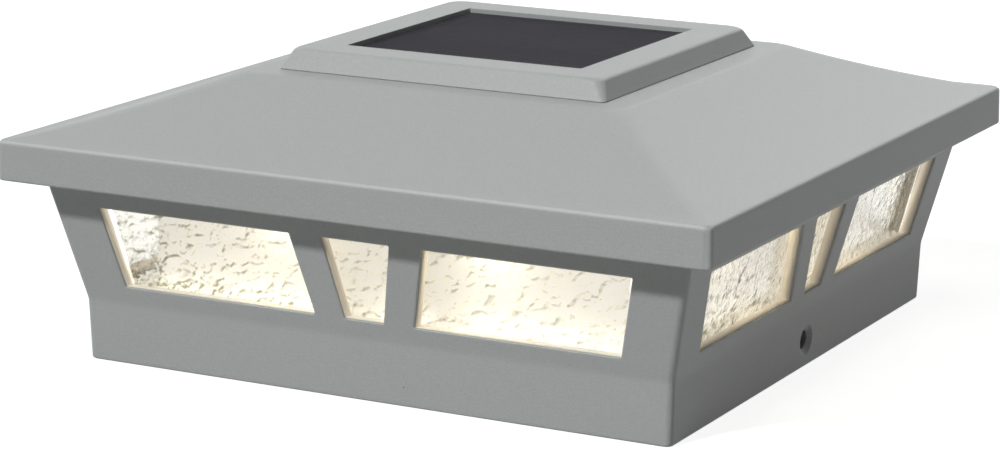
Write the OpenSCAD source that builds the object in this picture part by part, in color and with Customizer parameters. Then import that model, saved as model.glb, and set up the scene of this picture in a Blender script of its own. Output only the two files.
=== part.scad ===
// Solar deck post cap light: a cast hipped roof on a flared window frame,
// four hammered glass panes, a solar panel and a lamp module underneath.
// Origin: centre of the bottom rim. +Z is up, -Y is the front.

/* [Post sleeve] */
// Width of the post that the cap slips over
post_w = 152.4; // [150:0.1:153]
// Gap between the post and the sleeve on each side
post_gap = 0.6; // [0.3:0.1:1]
// Outer half width of the sleeve at its bottom rim
rim_half = 79; // [78.8:0.1:80]
// Height at which the straight sleeve turns into the flared window wall
bend_z = 15.3; // [15:0.1:15.5]
// Outer half width of the body at that bend
bend_half = 79.5; // [79.2:0.1:80]
// Height of the ledge that the post top rests against
stop_z = 15.5; // [15.5:0.1:16]
// Bore of the post screw hole on the left and right sides
post_hole_d = 4.6; // [4.2:0.1:5]
// Mouth of its countersink
post_sink_d = 7.6; // [7:0.1:8.4]
// Depth of its countersink
post_sink_depth = 1; // [0.8:0.1:1.2]
// Height of the post screw hole
post_hole_z = 6.8; // [6:0.1:8]

/* [Window wall] */
// Outer half width of the flared wall where it meets the eave
flare_half = 86.5; // [86:0.1:87]
// Wall of the casting, measured level
wall = 2.56; // [2.4:0.02:2.7]
// Bottom of the windows
window_z0 = 19.9; // [19.5:0.1:20.5]
// Top of the windows
window_z1 = 40.2; // [39:0.1:40.5]
// Half width of the middle window at its top
mid_top = 9.2; // [8.5:0.1:10]
// Half width of the middle window at its bottom
mid_bottom = 5.3; // [4.8:0.1:6]
// Inner top corner of a side window
side_top_in = 17.9; // [17:0.1:19]
// Inner bottom corner of a side window
side_bottom_in = 13.4; // [13:0.1:14.5]
// Outer top corner of a side window
side_top_out = 71.7; // [70:0.1:72]
// Outer bottom corner of a side window
side_bottom_out = 67; // [66:0.1:68]

/* [Roof] */
// Half width of the eave at its lower edge
eave_half = 94.7; // [94:0.1:95.5]
// Draft of the eave face from bottom to top
eave_draft = 0.2; // [0:0.1:0.4]
// Lower edge of the eave
eave_z0 = 46.4; // [46:0.1:47]
// Height at which the slope meets the eave face
eave_z1 = 56.3; // [56:0.1:57]
// Plan radius of the eave corners
eave_r = 2; // [1:0.1:5]
// Round along the top of the eave
eave_round = 2.2; // [1.5:0.1:3]
// Level of the flat collar around the solar frame
collar_z = 70.4; // [70:0.1:71]
// Half width of that collar
collar_half = 51.4; // [50:0.1:52]
// How much the slope dips below a straight line from collar to eave
slope_dip = 1.2; // [0.5:0.1:2]
// Thickness of the roof casting
roof_t = 2.8; // [2.5:0.1:3]

/* [Solar frame and panel] */
// Half width of the solar frame at its foot
frame_foot = 44.8; // [43.5:0.1:45.5]
// Half width of the solar frame at its top
frame_top = 43; // [42:0.1:43.5]
// Top of the solar frame
frame_z1 = 75.6; // [75:0.1:76]
// Half width of the pocket that holds the panel
pocket_half = 32.4; // [31.5:0.1:33]
// How far the panel glass sits below the frame top
panel_drop = 1.1; // [0.8:0.1:1.5]

/* [Glass and lamps] */
// Thickness of a hammered glass pane, measured level
pane_t = 3.05; // [2.5:0.05:3.4]
// Silicone seal between a pane and the wall
pane_seal_t = 0.6; // [0.4:0.1:0.8]
// Half length of a pane
pane_half = 73.3; // [73:0.1:73.6]
// Distance of the lamps from the middle of each side
lamp_u = 28; // [20:1:36]

/* [Battery and door] */
// Diameter of the rechargeable cell
cell_d = 18.2; // [18:0.1:18.4]
// Length of the cell
cell_len = 65; // [64:0.1:66]

/* [Hidden] */

$fn = 48;
EPS = 0.01;
BIG = 400;

PAINT = "#a4aaa7";
GLASS = "#e9e4cf";
WHITE = "#f2f0e8";
BLACK = "#26262a";
STEEL = "#b9bbbd";
GREEN = "#2f6b45";
RUBBER = "#3a3a3a";

// ---- derived sizes ----
socket_half = post_w / 2 + post_gap;
flare_slope = (flare_half - bend_half) / (eave_z0 - bend_z);
body_z1 = 48.9;
ledge_t = 2;
ledge_z1 = stop_z + ledge_t;
ledge_half = 68;
boss_at = 59;
boss_r = 5.1;
boss_z1 = 30;
gusset_half = 53.5;

seal_gap = 0.6;
landing_z = body_z1 + seal_gap;
landing_half = 83.8;
eave_inner = eave_half - roof_t - 0.2;
slope_foot = eave_half - 2.8;
slope_head = collar_half + 1.4;
slope_head_z = collar_z - 0.4;
roof_hole_half = 38;
rib_at = 72;
rib_w = 12;

pane_z1 = 43.3;
pane_d0 = wall + pane_seal_t;
pane_d1 = pane_d0 + pane_t;

channel_half = 66.5;
channel_t = 1.5;
channel_cap_z = 43.6;
channel_z1 = channel_cap_z + channel_t;
channel_foot = 73.4;
lamp_board_t = 0.6;
lamp_board_w = 8;
lamp_board_half = 58;
lamp_row = 72.5;
lamp_t = 0.8;

gasket_t = 0.2;
frame_z0 = collar_z + gasket_t;
frame_plug = 37.5;
frame_wall = 2.4;
pocket_z = frame_z1 - panel_drop - 3;
frame_floor_z = pocket_z - 2;
frame_boss_at = 32;
frame_boss_z = 62.8;
panel_half = pocket_half - 0.3;
panel_top = frame_z1 - panel_drop;
cell_row = 4;
cell_col = 2;

house_half = 46;
house_wall = 2.5;
house_z0 = 40.5;
house_gasket_t = 1;
house_z1 = collar_z - roof_t - house_gasket_t;
shelf_z0 = frame_boss_z - 2.4;
cover_t = 3.5;
cover_z0 = house_z0 - cover_t;
cover_seal_t = 0.5;
cover_screw_at = 38.6;

bay_y = -14;
bay_z = 50;
holder_in = cell_d / 2 + 0.3;
holder_wall = 1.4;
holder_end = cell_len / 2 + 4;

hinge_y = -29;
hinge_z = cover_z0 + 0.95;
hinge_pin_r = 1.2;
hinge_play = 0.08;
door_half = 36.4;
door_y1 = -2;
door_t = 1.8;
door_gap = 0.5;
lug_w = 4;

switch_y = 22;
switch_travel = 3;
nub_w = 4;

board_z = 55.4;
board_t = 1.6;
board_y = 21;

lead_r = 0.5;
lead_pitch = 1.15;
lead_z = board_z + board_t + lead_r + 0.05;
lead_hole_u = 40;
lead_hole_y = -69.2;
lead_dip = 1.6;

// ---- helpers ----

// Outer half width of the body at height z
function face_at(z) = z < bend_z
    ? rim_half + (bend_half - rim_half) * z / bend_z
    : bend_half + flare_slope * (z - bend_z);

// Points of a circular arc in the plane, end points included
function arc(cx, cy, r, a0, a1, steps) = [
    for (i = [0:steps])
        let (a = a0 + (a1 - a0) * i / steps)
        [cx + r * cos(a), cy + r * sin(a)]
];

// Roof slope: a straight line from eave to collar that dips in the middle
function slope_z(half) =
    let (t = (slope_foot - half) / (slope_foot - slope_head))
    eave_z1 + (slope_head_z - eave_z1) * t - 4 * slope_dip * t * (1 - t);

// Points along the slope between two half widths, lowered by a drop
function slope(h0, h1, drop, steps) = [
    for (i = [0:steps])
        let (half = h0 + (h1 - h0) * i / steps)
        [half, slope_z(half) - drop]
];

// Outer edge of the roof as [half width, z], from the eave's lower edge up
function roof_outline() = concat(
    [[eave_half, eave_z0]],
    arc(eave_half - eave_draft - eave_round, eave_z1 - eave_round - 0.2, eave_round, 5, 70, 6),
    slope(slope_foot, slope_head, 0, 14),
    [[collar_half, collar_z - 0.1], [collar_half - 1.5, collar_z]]
);

// The roof outline moved inwards by the casting's thickness
function roof_lining() = concat(
    [[eave_inner, eave_z0 - 1], [eave_inner, landing_z], [landing_half, landing_z]],
    slope(landing_half, slope_head, roof_t, 10),
    [[collar_half - 2.5, collar_z - roof_t]]
);

// A square solid whose half width follows a profile of [half width, z] points
module hipped(profile) {
    outline = concat(profile, [for (i = [len(profile) - 1:-1:0]) [-profile[i][0], profile[i][1]]]);
    intersection() {
        rotate([90, 0, 0])
            linear_extrude(BIG, center = true)
                polygon(outline);
        rotate([90, 0, 90])
            linear_extrude(BIG, center = true)
                polygon(outline);
    }
}

// Square block of a half width between two heights
module block(half, z0, z1) {
    translate([-half, -half, z0])
        cube([2 * half, 2 * half, z1 - z0]);
}

// Square block with round vertical corners
module round_block(half, r, z0, z1) {
    flat = half - r;
    translate([-half, -flat, z0])
        cube([2 * half, 2 * flat, z1 - z0]);
    translate([-flat, -half, z0])
        cube([2 * flat, 2 * half, z1 - z0]);
    corners(flat)
        translate([0, 0, z0])
            cylinder(h = z1 - z0, r = r);
}

// Square ring
module ring(outer, inner, z0, z1) {
    difference() {
        block(outer, z0, z1);
        block(inner, z0 - 1, z1 + 1);
    }
}

// Square ring with round corners
module round_ring(outer, inner, r, z0, z1) {
    difference() {
        round_block(outer, r, z0, z1);
        round_block(inner, r - (outer - inner) / 2, z0 - 1, z1 + 1);
    }
}

// Box from one corner to the other
module span(low, high) {
    translate(low)
        cube(high - low);
}

// Children at the four corners of a square
module corners(half) {
    for (x = [-1, 1], y = [-1, 1])
        translate([x * half, y * half, 0])
            children();
}

// Children turned from the front side to side 0 front, 1 right, 2 back, 3 left
module on_side(side) {
    rotate([0, 0, 90 * side])
        children();
}

// Slab that leans with the front wall, between two level depths behind its face
module wall_slab(half, z0, z1, d0, d1) {
    translate([-half, 0, 0])
        rotate([90, 0, 90])
            linear_extrude(2 * half)
                polygon([
                    [d0 - face_at(z0), z0], [d0 - face_at(z1), z1],
                    [d1 - face_at(z1), z1], [d1 - face_at(z0), z0]
                ]);
}

// The three windows of one side as flat outlines, grown by a margin
module window_outlines(grow = 0) {
    polygon([
        [-mid_top - grow, window_z1 + grow], [mid_top + grow, window_z1 + grow],
        [mid_bottom + grow, window_z0 - grow], [-mid_bottom - grow, window_z0 - grow]
    ]);
    for (side = [-1, 1])
        scale([side, 1])
            polygon([
                [side_top_in - grow, window_z1 + grow], [side_top_out + grow, window_z1 + grow],
                [side_bottom_out + grow, window_z0 - grow], [side_bottom_in - grow, window_z0 - grow]
            ]);
}

// Cutter that goes level through the front wall
module window_cutter(grow = 0) {
    translate([0, -rim_half + 6, 0])
        rotate([90, 0, 0])
            linear_extrude(30)
                window_outlines(grow);
}

// Pan head screw with a cross recess, head down, tip up, head top at z = 0
module screw(shank_r, length, head_r, head_h) {
    cylinder(h = length, r = shank_r);
    difference() {
        translate([0, 0, -head_h])
            cylinder(h = head_h, r = head_r);
        for (turn = [0, 90])
            rotate([0, 0, turn])
                translate([-head_r * 0.6, -0.35, -head_h - 1])
                    cube([head_r * 1.2, 0.7, 1 + head_h * 0.5]);
    }
}

// Round tube swept along a list of points
function unit(v) = v / norm(v);
function heading(path, i) = unit(
    i == 0 ? path[1] - path[0]
    : i == len(path) - 1 ? path[i] - path[i - 1]
    : unit(path[i + 1] - path[i]) + unit(path[i] - path[i - 1]));
function tube_ring(centre, along, r, sides) =
    let (
        helper = abs(along[2]) > 0.9 ? [1, 0, 0] : [0, 0, 1],
        across = unit(cross(along, helper)),
        over = cross(across, along)
    )
    [for (k = [0:sides - 1])
        centre + r * (cos(360 * k / sides) * across + sin(360 * k / sides) * over)];

module tube(path, r, sides = 8) {
    count = len(path);
    points = [for (i = [0:count - 1]) each tube_ring(path[i], heading(path, i), r, sides)];
    walls = [for (i = [0:count - 2], k = [0:sides - 1])
        let (a = i * sides + k, b = i * sides + (k + 1) % sides)
        each [[a, b, b + sides], [a, b + sides, a + sides]]];
    first = [for (k = [sides - 1:-1:0]) k];
    last = [for (k = [0:sides - 1]) (count - 1) * sides + k];
    polyhedron(points, concat([first], walls, [last]));
}

// ---- castings ----

// Flared window frame with its post sleeve, post stop ledge and screw bosses
module window_body() {
    color(PAINT)
        difference() {
            union() {
                difference() {
                    hipped([[rim_half, 0], [bend_half, bend_z], [face_at(body_z1), body_z1]]);
                    hipped([[socket_half, -1], [socket_half, stop_z],
                        [face_at(ledge_z1) - wall, ledge_z1],
                        [face_at(body_z1 + 1) - wall, body_z1 + 1]]);
                    for (side = [0:3])
                        on_side(side)
                            window_cutter();
                }
                ring(face_at(ledge_z1) - wall + 0.5, ledge_half, stop_z, ledge_z1);
                for (turn = [0:3])
                    on_side(turn)
                        span([gusset_half, -socket_half, stop_z], [socket_half, -gusset_half, ledge_z1]);
                corners(boss_at)
                    translate([0, 0, stop_z])
                        cylinder(h = boss_z1 - stop_z, r = boss_r);
            }
            corners(boss_at) {
                cylinder(h = boss_z1 + 1, r = 2.25);
                translate([0, 0, stop_z - 1])
                    cylinder(h = 5, r = 3.9);
            }
            for (side = [-1, 1])
                translate([0, 0, post_hole_z])
                    rotate([0, side * 90, 0]) {
                        cylinder(h = rim_half + 2, d = post_hole_d);
                        translate([0, 0, face_at(post_hole_z) - post_sink_depth])
                            cylinder(h = post_sink_depth + 0.1, d1 = post_hole_d, d2 = post_sink_d + 0.3);
                    }
        }
}

// Hipped roof with its eave, centre opening, corner bosses and press ribs
module roof_cover() {
    color(PAINT)
        difference() {
            union() {
                difference() {
                    intersection() {
                        hipped(roof_outline());
                        round_block(eave_half, eave_r, eave_z0 - 1, collar_z + 1);
                    }
                    hipped(roof_lining());
                }
                intersection() {
                    hipped(concat([[eave_half, boss_z1]], roof_outline()));
                    union() {
                        corners(boss_at)
                            translate([0, 0, boss_z1])
                                cylinder(h = collar_z - boss_z1, r = boss_r);
                        for (side = [0:3])
                            on_side(side)
                                span([-rib_w / 2, -rib_at - 1.5, channel_z1],
                                    [rib_w / 2, -rib_at + 1.5, collar_z]);
                    }
                }
            }
            block(roof_hole_half, collar_z - roof_t - 1, collar_z + 1);
            corners(boss_at)
                cylinder(h = boss_z1 + 13, r = 2.05);
        }
}

// Foam seal between the body's top rim and the roof
module roof_seal() {
    color(RUBBER)
        ring(face_at(body_z1) - 0.3, face_at(body_z1) - wall + 0.3, body_z1, landing_z);
}

// ---- glass ----

// Hammered glass pane of one side
module pane(side) {
    color(GLASS, 0.6)
        on_side(side)
            wall_slab(pane_half, ledge_z1, pane_z1, pane_d0, pane_d1);
}

// Silicone seal between a pane and the wall, open at the windows
module pane_seal(side) {
    color(WHITE)
        on_side(side)
            difference() {
                wall_slab(pane_half, ledge_z1 + EPS, pane_z1, wall + EPS, pane_d0);
                window_cutter(0.8);
            }
}

// ---- lamps ----

// White channel that holds the panes' feet and tops and carries the lamp boards
module light_channel() {
    color(WHITE)
        difference() {
            union() {
                ring(channel_half, channel_half - channel_t, ledge_z1, channel_z1);
                ring(channel_foot, channel_half - 0.1, ledge_z1, ledge_z1 + channel_t);
                ring(face_at(channel_cap_z) - wall - 0.3, channel_half - 0.1, channel_cap_z, channel_z1);
            }
            for (side = [0:3], x = [-lead_hole_u, lead_hole_u])
                on_side(side)
                    translate([x, lead_hole_y, channel_cap_z - 1])
                        cylinder(h = 4, r = 1.7);
        }
}

// Lamp board under the cap of the channel
module lamp_board(side) {
    color(WHITE)
        on_side(side)
            span([-lamp_board_half, -lamp_row - lamp_board_w / 2, channel_cap_z - lamp_board_t],
                [lamp_board_half, -lamp_row + lamp_board_w / 2, channel_cap_z]);
}

// Two lamps of one side
module lamps(side) {
    color("#ffe9b0")
        on_side(side)
            for (x = [-lamp_u, lamp_u])
                translate([x, -lamp_row, channel_cap_z - lamp_board_t - lamp_t])
                    span([-1.75, -1.4, 0], [1.75, 1.4, lamp_t]);
}

// Stretch of a lamp lead from the housing wall down to the lamp board.
// The black lead of a pair (polarity 1) runs beside and above the red one.
function lead_drop(polarity) =
    let (s = lead_pitch * polarity)
    [
        [24 + s, -house_half + 1, lead_z + s], [24 + s, -house_half - 3, lead_z + s],
        [27 + s, -54, 54 + s], [35 + s, -62, 49.5 + s], [38.6 + s, -67, 47 + s],
        [39.4 + s, lead_hole_y, 45.2 + s / 2], [39.4 + s, lead_hole_y, channel_cap_z + EPS]
    ];

// Short lead: straight onto the control board. Front lead: round the battery holder
// and, dipping, under the head of the frame screw
function short_lead(polarity) =
    let (s = lead_pitch * polarity)
    concat([[24 + s, -31, lead_z + s]], lead_drop(polarity));
function front_lead(polarity) =
    let (s = lead_pitch * polarity)
    concat([
        [31, 12 - s, lead_z + s], [37, 8 - s, lead_z + s], [40, 0, lead_z + s],
        [40, -27, lead_z + s], [35 + s, -31, lead_z + s - lead_dip],
        [28 + s, -36, lead_z + s - lead_dip], [24.5 + s, -40, lead_z + s]
    ], lead_drop(polarity));

// Leads of the four lamp boards, one red and one black to each
module lamp_leads() {
    for (polarity = [0, 1])
        color(["#c03a30", BLACK][polarity]) {
            tube(front_lead(polarity), lead_r);
            for (side = [1, 2])
                on_side(side)
                    tube(short_lead(polarity), lead_r);
            on_side(3)
                mirror([1, 0, 0])
                    tube(short_lead(polarity), lead_r);
        }
}

// Screws that hold the body to the roof
module body_screws() {
    color(STEEL)
        corners(boss_at)
            translate([0, 0, stop_z + 4])
                screw(2, 20, 3.6, 2.4);
}

// ---- solar frame and panel ----

// Frame around the panel, with a plug through the roof and four bosses
module solar_frame() {
    color(PAINT)
        difference() {
            union() {
                hipped([[frame_foot, frame_z0], [frame_top + 0.4, frame_z1 - 1.2],
                    [frame_top - 0.3, frame_z1 - 0.3], [frame_top - 1.4, frame_z1]]);
                ring(frame_plug, frame_plug - frame_wall, frame_boss_z + 2, frame_z0);
                block(frame_plug, frame_floor_z, frame_z0);
                corners(frame_boss_at)
                    translate([0, 0, frame_boss_z])
                        cylinder(h = frame_z0 - frame_boss_z, r = 3.4);
            }
            block(pocket_half, pocket_z, frame_z1 + 1);
            translate([0, 0, frame_floor_z - 1])
                cylinder(h = 6, r = 4);
            corners(frame_boss_at)
                translate([0, 0, frame_boss_z - 1])
                    cylinder(h = 8.6, r = 1.55);
        }
}

// Gasket between the frame and the roof collar
module frame_gasket() {
    color(RUBBER)
        ring(frame_foot - 0.5, roof_hole_half + 0.5, collar_z, frame_z0);
}

// Black adhesive bed under the panel
module panel_adhesive() {
    color(BLACK)
        difference() {
            block(panel_half, pocket_z, pocket_z + 0.5);
            translate([0, 0, pocket_z - 1])
                cylinder(h = 3, r = 4);
        }
}

// Backing board of the panel
module panel_backing() {
    color(GREEN)
        block(panel_half, pocket_z + 0.5, panel_top - 1.3);
}

// Strips of silicon in two columns
module solar_cells() {
    pitch_x = (2 * panel_half - 2) / cell_col;
    pitch_y = (2 * panel_half - 2) / cell_row;
    color("#2c2b33")
        for (column = [0:cell_col - 1], row = [0:cell_row - 1])
            translate([-panel_half + 1 + column * pitch_x, -panel_half + 1 + row * pitch_y, panel_top - 1.3])
                cube([pitch_x - 0.6, pitch_y - 0.6, 0.2]);
}

// Cover glass of the panel
module panel_glass() {
    color("#44424a", 0.8)
        block(panel_half, panel_top - 1.1, panel_top);
}

// Screws that clamp the roof between the housing and the frame
module frame_screws() {
    color(STEEL)
        corners(frame_boss_at)
            translate([0, 0, shelf_z0])
                screw(1.5, 8.6, 2.8, 2);
}

// ---- lamp module ----

// Housing that holds the battery and the electronics
module lamp_housing() {
    color(WHITE)
        difference() {
            union() {
                difference() {
                    round_block(house_half, 4, house_z0, house_z1);
                    round_block(house_half - house_wall, 2, house_z0 - 1, shelf_z0);
                    round_block(house_half - house_wall, 2, shelf_z0 + 2.4, house_z1 + 1);
                }
                corners(cover_screw_at)
                    translate([0, 0, house_z0])
                        cylinder(h = shelf_z0 - house_z0 + 1, r = 4.2);
                for (x = [-28, 28])
                    translate([x, board_y, board_z + board_t])
                        cylinder(h = shelf_z0 - board_z - board_t + 1, r = 3);
            }
            corners(frame_boss_at)
                translate([0, 0, shelf_z0 - 1])
                    cylinder(h = 5, r = 1.7);
            corners(cover_screw_at)
                translate([0, 0, house_z0 - 1])
                    cylinder(h = 12, r = 1.55);
            for (x = [-28, 28])
                translate([x, board_y, board_z])
                    cylinder(h = 5.8, r = 1.3);
            translate([0, 12, shelf_z0 - 1])
                cylinder(h = 5, r = 2.5);
            for (side = [0:3], hand = [-1, 1], s = [0, lead_pitch])
                on_side(side)
                    translate([hand * (24 + s), -house_half + house_wall + 2, lead_z + s])
                        rotate([90, 0, 0])
                            cylinder(h = 6, r = lead_r + 0.1);
        }
}

// Gasket between the housing and the underside of the roof
module housing_gasket() {
    color(RUBBER)
        round_ring(house_half - 0.2, house_half - house_wall + 0.2, 3.8, house_z1, collar_z - roof_t);
}

// Cover under the housing, with the door recess, hinge lugs and switch slot
module housing_cover() {
    color(WHITE)
        difference() {
            union() {
                round_block(house_half, 4, cover_z0, house_z0 - cover_seal_t);
                for (x = [-1, 1])
                    translate([x * (door_half + door_gap + lug_w / 2), hinge_y, 0])
                        span([-lug_w / 2, -2.6, hinge_z - 2.6], [lug_w / 2, 2.6, cover_z0 + 0.1]);
                translate([0, switch_y, cover_z0 - 1])
                    difference() {
                        span([-8, -5, 0], [8, 5, 1.1]);
                        span([-6.6, -3.6, -1], [6.6, 3.6, 1]);
                    }
            }
            span([-door_half - door_gap, hinge_y - 1.8, cover_z0 - 1],
                [door_half + door_gap, door_y1 + door_gap, cover_z0 + 2]);
            span([-door_half - door_gap, hinge_y - 1.8, cover_z0 - 1],
                [door_half + door_gap, hinge_y + 1.8, cover_z0 + 2.4]);
            span([-34.4, bay_y - 11.2, cover_z0 - 1], [34.4, bay_y + 10.4, house_z0 + 1]);
            span([-9, door_y1 - 1, cover_z0 - 1], [9, door_y1 + 3, cover_z0 + 1.2]);
            for (x = [-1, 1])
                translate([x * (door_half + 0.4), hinge_y, hinge_z])
                    rotate([0, x * 90, 0])
                        cylinder(h = 4.1, r = hinge_pin_r + hinge_play);
            span([-nub_w / 2 - switch_travel / 2 - 0.4, switch_y - 1.8, cover_z0 - 1],
                [nub_w / 2 + switch_travel / 2 + 0.4, switch_y + 1.8, house_z0 + 1]);
            corners(cover_screw_at) {
                cylinder(h = house_z0 + 1, r = 1.7);
                cylinder(h = cover_z0 + 1.5, r = 3.1);
            }
        }
}

// Foam seal between housing and cover
module cover_seal() {
    color(RUBBER)
        round_ring(house_half - 0.2, house_half - house_wall + 0.2, 3.8, house_z0 - cover_seal_t, house_z0);
}

// Screws of the cover
module cover_screws() {
    color(STEEL)
        corners(cover_screw_at)
            translate([0, 0, cover_z0 + 1.5])
                screw(1.5, 12, 2.8, 1.4);
}

// Holder that hugs the cell past its middle, open downwards
module battery_holder() {
    color(BLACK)
        difference() {
            span([-holder_end - holder_wall, bay_y - holder_in - holder_wall, bay_z - 5],
                [holder_end + holder_wall, bay_y + holder_in + holder_wall, shelf_z0]);
            translate([-holder_end, bay_y, bay_z])
                rotate([0, 90, 0])
                    cylinder(h = 2 * holder_end, r = holder_in);
        }
}

// Rechargeable cell with its raised positive cap
module battery() {
    color("#3f6fae")
        translate([-cell_len / 2, bay_y, bay_z])
            rotate([0, 90, 0]) {
                cylinder(h = cell_len - 1.5, d = cell_d);
                translate([0, 0, cell_len - 1.5])
                    cylinder(h = 1.5, r = 3.5);
            }
}

// Coil spring on the negative contact
spring_r = 3.6;
spring_turns = 3;
spring_wire = 0.4;
module battery_spring() {
    x0 = -holder_end + 0.4 + spring_wire;
    x1 = -cell_len / 2 - spring_wire - 0.05;
    steps = 14 * spring_turns;
    color(STEEL)
        tube([for (i = [0:steps])
            [x0 + (x1 - x0) * i / steps,
                bay_y + spring_r * cos(360 * spring_turns * i / steps),
                bay_z + spring_r * sin(360 * spring_turns * i / steps)]], spring_wire, 6);
}

// Negative contact plate
module contact_minus() {
    color(STEEL)
        span([-holder_end, bay_y - 6, bay_z - 5], [-holder_end + 0.4, bay_y + 6, bay_z + 5]);
}

// Positive contact: a strip bent towards the cell
module contact_plus() {
    color(STEEL)
        translate([0, bay_y + 6, 0])
            rotate([90, 0, 0])
                linear_extrude(12)
                    polygon([
                        [holder_end, bay_z - 5], [holder_end, bay_z + 5],
                        [holder_end - 0.4, bay_z + 5], [holder_end - 0.4, bay_z + 3],
                        [cell_len / 2 + 0.05, bay_z + 1.2], [cell_len / 2 + 0.05, bay_z - 1.2],
                        [holder_end - 0.4, bay_z - 3], [holder_end - 0.4, bay_z - 5]
                    ]);
}

// Hinged battery door: rotates about the two pegs in the cover's lugs
module battery_door() {
    color(WHITE) {
        span([-door_half, hinge_y, hinge_z - door_t / 2], [door_half, door_y1, hinge_z + door_t / 2]);
        translate([-door_half - door_gap - 2.8, hinge_y, hinge_z])
            rotate([0, 90, 0])
                cylinder(h = 2 * (door_half + door_gap + 2.8), r = hinge_pin_r);
        for (row = [0:2])
            span([-8, door_y1 - 2.4 - 2 * row, hinge_z - door_t / 2 - 0.8],
                [8, door_y1 - 1.4 - 2 * row, hinge_z]);
    }
}

// Slide switch, fixed inside the cover
module switch_case() {
    color(BLACK)
        difference() {
            span([-6, switch_y - 3.2, house_z0 - cover_seal_t], [6, switch_y + 3.2, house_z0 + 5]);
            span([-nub_w / 2 - switch_travel / 2 - 0.4, switch_y - 1.8, house_z0 - 2],
                [nub_w / 2 + switch_travel / 2 + 0.4, switch_y + 1.8, house_z0 + 2]);
        }
}

// Switch slider, at its off end at rest
module switch_slider() {
    color(BLACK)
        translate([-switch_travel / 2, switch_y, 0]) {
            span([-nub_w / 2, -1.5, cover_z0 - 0.6], [nub_w / 2, 1.5, house_z0 + 1.7]);
            for (x = [-1.2, 0, 1.2])
                span([x - 0.25, -1.5, cover_z0 - 0.9], [x + 0.25, 1.5, cover_z0]);
        }
}

// ---- electronics ----

// Control board on two posts under the housing shelf
module control_board() {
    color(GREEN)
        difference() {
            span([-33, board_y - 14, board_z], [33, board_y + 14, board_z + board_t]);
            for (x = [-28, 28])
                translate([x, board_y, board_z - 1])
                    cylinder(h = 4, r = 1.3);
        }
}

// Charge and driver chip
module driver_chip() {
    color(BLACK)
        span([-4, board_y - 3, board_z - 1.6], [2, board_y + 2, board_z]);
}

// Boost inductor
module board_inductor() {
    color("#4a4038")
        translate([12, board_y + 5, board_z - 4.5])
            cylinder(h = 4.5, r = 4);
}

// Smoothing capacitor
module board_capacitor() {
    color("#2d3c66")
        translate([-14, board_y + 6, board_z - 7])
            cylinder(h = 7, r = 3.2);
}

// Screws of the control board
module board_screws() {
    color(STEEL)
        for (x = [-28, 28])
            translate([x, board_y, board_z])
                screw(1.2, 5.2, 2.4, 1.5);
}

// Leads from the panel through the frame and the shelf to the board
function solar_lead(x) = [
    [x, 0, pocket_z + 0.49], [x, 0, 69], [x, 3, 66], [x, 10, 64.5], [x, 11.8, 62],
    [x, 11.8, board_z + board_t + EPS]
];
module solar_leads() {
    color("#c03a30")
        tube(solar_lead(-0.8), lead_r);
    color(BLACK)
        tube(solar_lead(0.8), lead_r);
}

// Leads from the battery contacts over the holder to the board
function battery_lead(x) = [
    [x, bay_y + holder_in + holder_wall + 0.7, bay_z + 2],
    [x, bay_y + holder_in + holder_wall + 0.8, board_z + 1.5],
    [x, bay_y + holder_in + holder_wall + 3, board_z + 2.8],
    [x, board_y - 12, board_z + 2.9],
    [x, board_y - 11, board_z + 2.5],
    [x, board_y - 11, board_z + board_t + EPS]
];
module battery_leads() {
    color("#c03a30")
        tube(battery_lead(24), lead_r);
    color(BLACK)
        tube(battery_lead(-24), lead_r);
}

// Leads from the switch to the board
function switch_lead(x) = [
    [x, switch_y, house_z0 + 5 + EPS], [x, switch_y, 48], [x + 1, switch_y - 2, 51],
    [x + 1, switch_y - 6, 54], [x + 1, switch_y - 6, board_z - EPS]
];
module switch_leads() {
    color(BLACK)
        for (x = [3, 4.8])
            tube(switch_lead(x), lead_r);
}

window_body();
roof_cover();
roof_seal();
pane(0);  // pane_front
pane(1);  // pane_right
pane(2);  // pane_back
pane(3);  // pane_left
pane_seal(0);  // pane_seal_front
pane_seal(1);  // pane_seal_right
pane_seal(2);  // pane_seal_back
pane_seal(3);  // pane_seal_left
light_channel();
lamp_board(0);  // lamp_board_front
lamp_board(1);  // lamp_board_right
lamp_board(2);  // lamp_board_back
lamp_board(3);  // lamp_board_left
lamps(0);  // lamps_front
lamps(1);  // lamps_right
lamps(2);  // lamps_back
lamps(3);  // lamps_left
lamp_leads();
body_screws();
solar_frame();
frame_gasket();
panel_adhesive();
panel_backing();
solar_cells();
panel_glass();
frame_screws();
lamp_housing();
housing_gasket();
housing_cover();
cover_seal();
cover_screws();
battery_holder();
battery();
battery_spring();
contact_minus();
contact_plus();
battery_door();
switch_case();
switch_slider();
control_board();
driver_chip();
board_inductor();
board_capacitor();
board_screws();
solar_leads();
battery_leads();
switch_leads();
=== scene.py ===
"""Deck post cap light: its looks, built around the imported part.

Every size is in millimetres until a mesh is made, and every mesh is in metres.
+Z is up, the front is -Y and the side with the visible screw hole is +X.
"""

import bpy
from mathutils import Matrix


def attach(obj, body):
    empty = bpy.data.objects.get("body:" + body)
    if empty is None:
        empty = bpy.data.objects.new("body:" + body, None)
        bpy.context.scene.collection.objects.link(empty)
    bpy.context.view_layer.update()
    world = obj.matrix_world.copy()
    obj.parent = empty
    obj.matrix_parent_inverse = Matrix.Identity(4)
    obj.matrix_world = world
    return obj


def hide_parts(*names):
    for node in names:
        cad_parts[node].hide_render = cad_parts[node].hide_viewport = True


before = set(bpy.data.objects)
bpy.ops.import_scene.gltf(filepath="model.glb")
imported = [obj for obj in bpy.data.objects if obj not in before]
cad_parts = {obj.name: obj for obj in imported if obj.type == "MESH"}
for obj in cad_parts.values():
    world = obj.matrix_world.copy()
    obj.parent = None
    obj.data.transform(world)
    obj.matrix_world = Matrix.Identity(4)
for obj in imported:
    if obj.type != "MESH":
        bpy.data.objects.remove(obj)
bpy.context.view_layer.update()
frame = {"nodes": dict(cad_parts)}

import logging
import math
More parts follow.
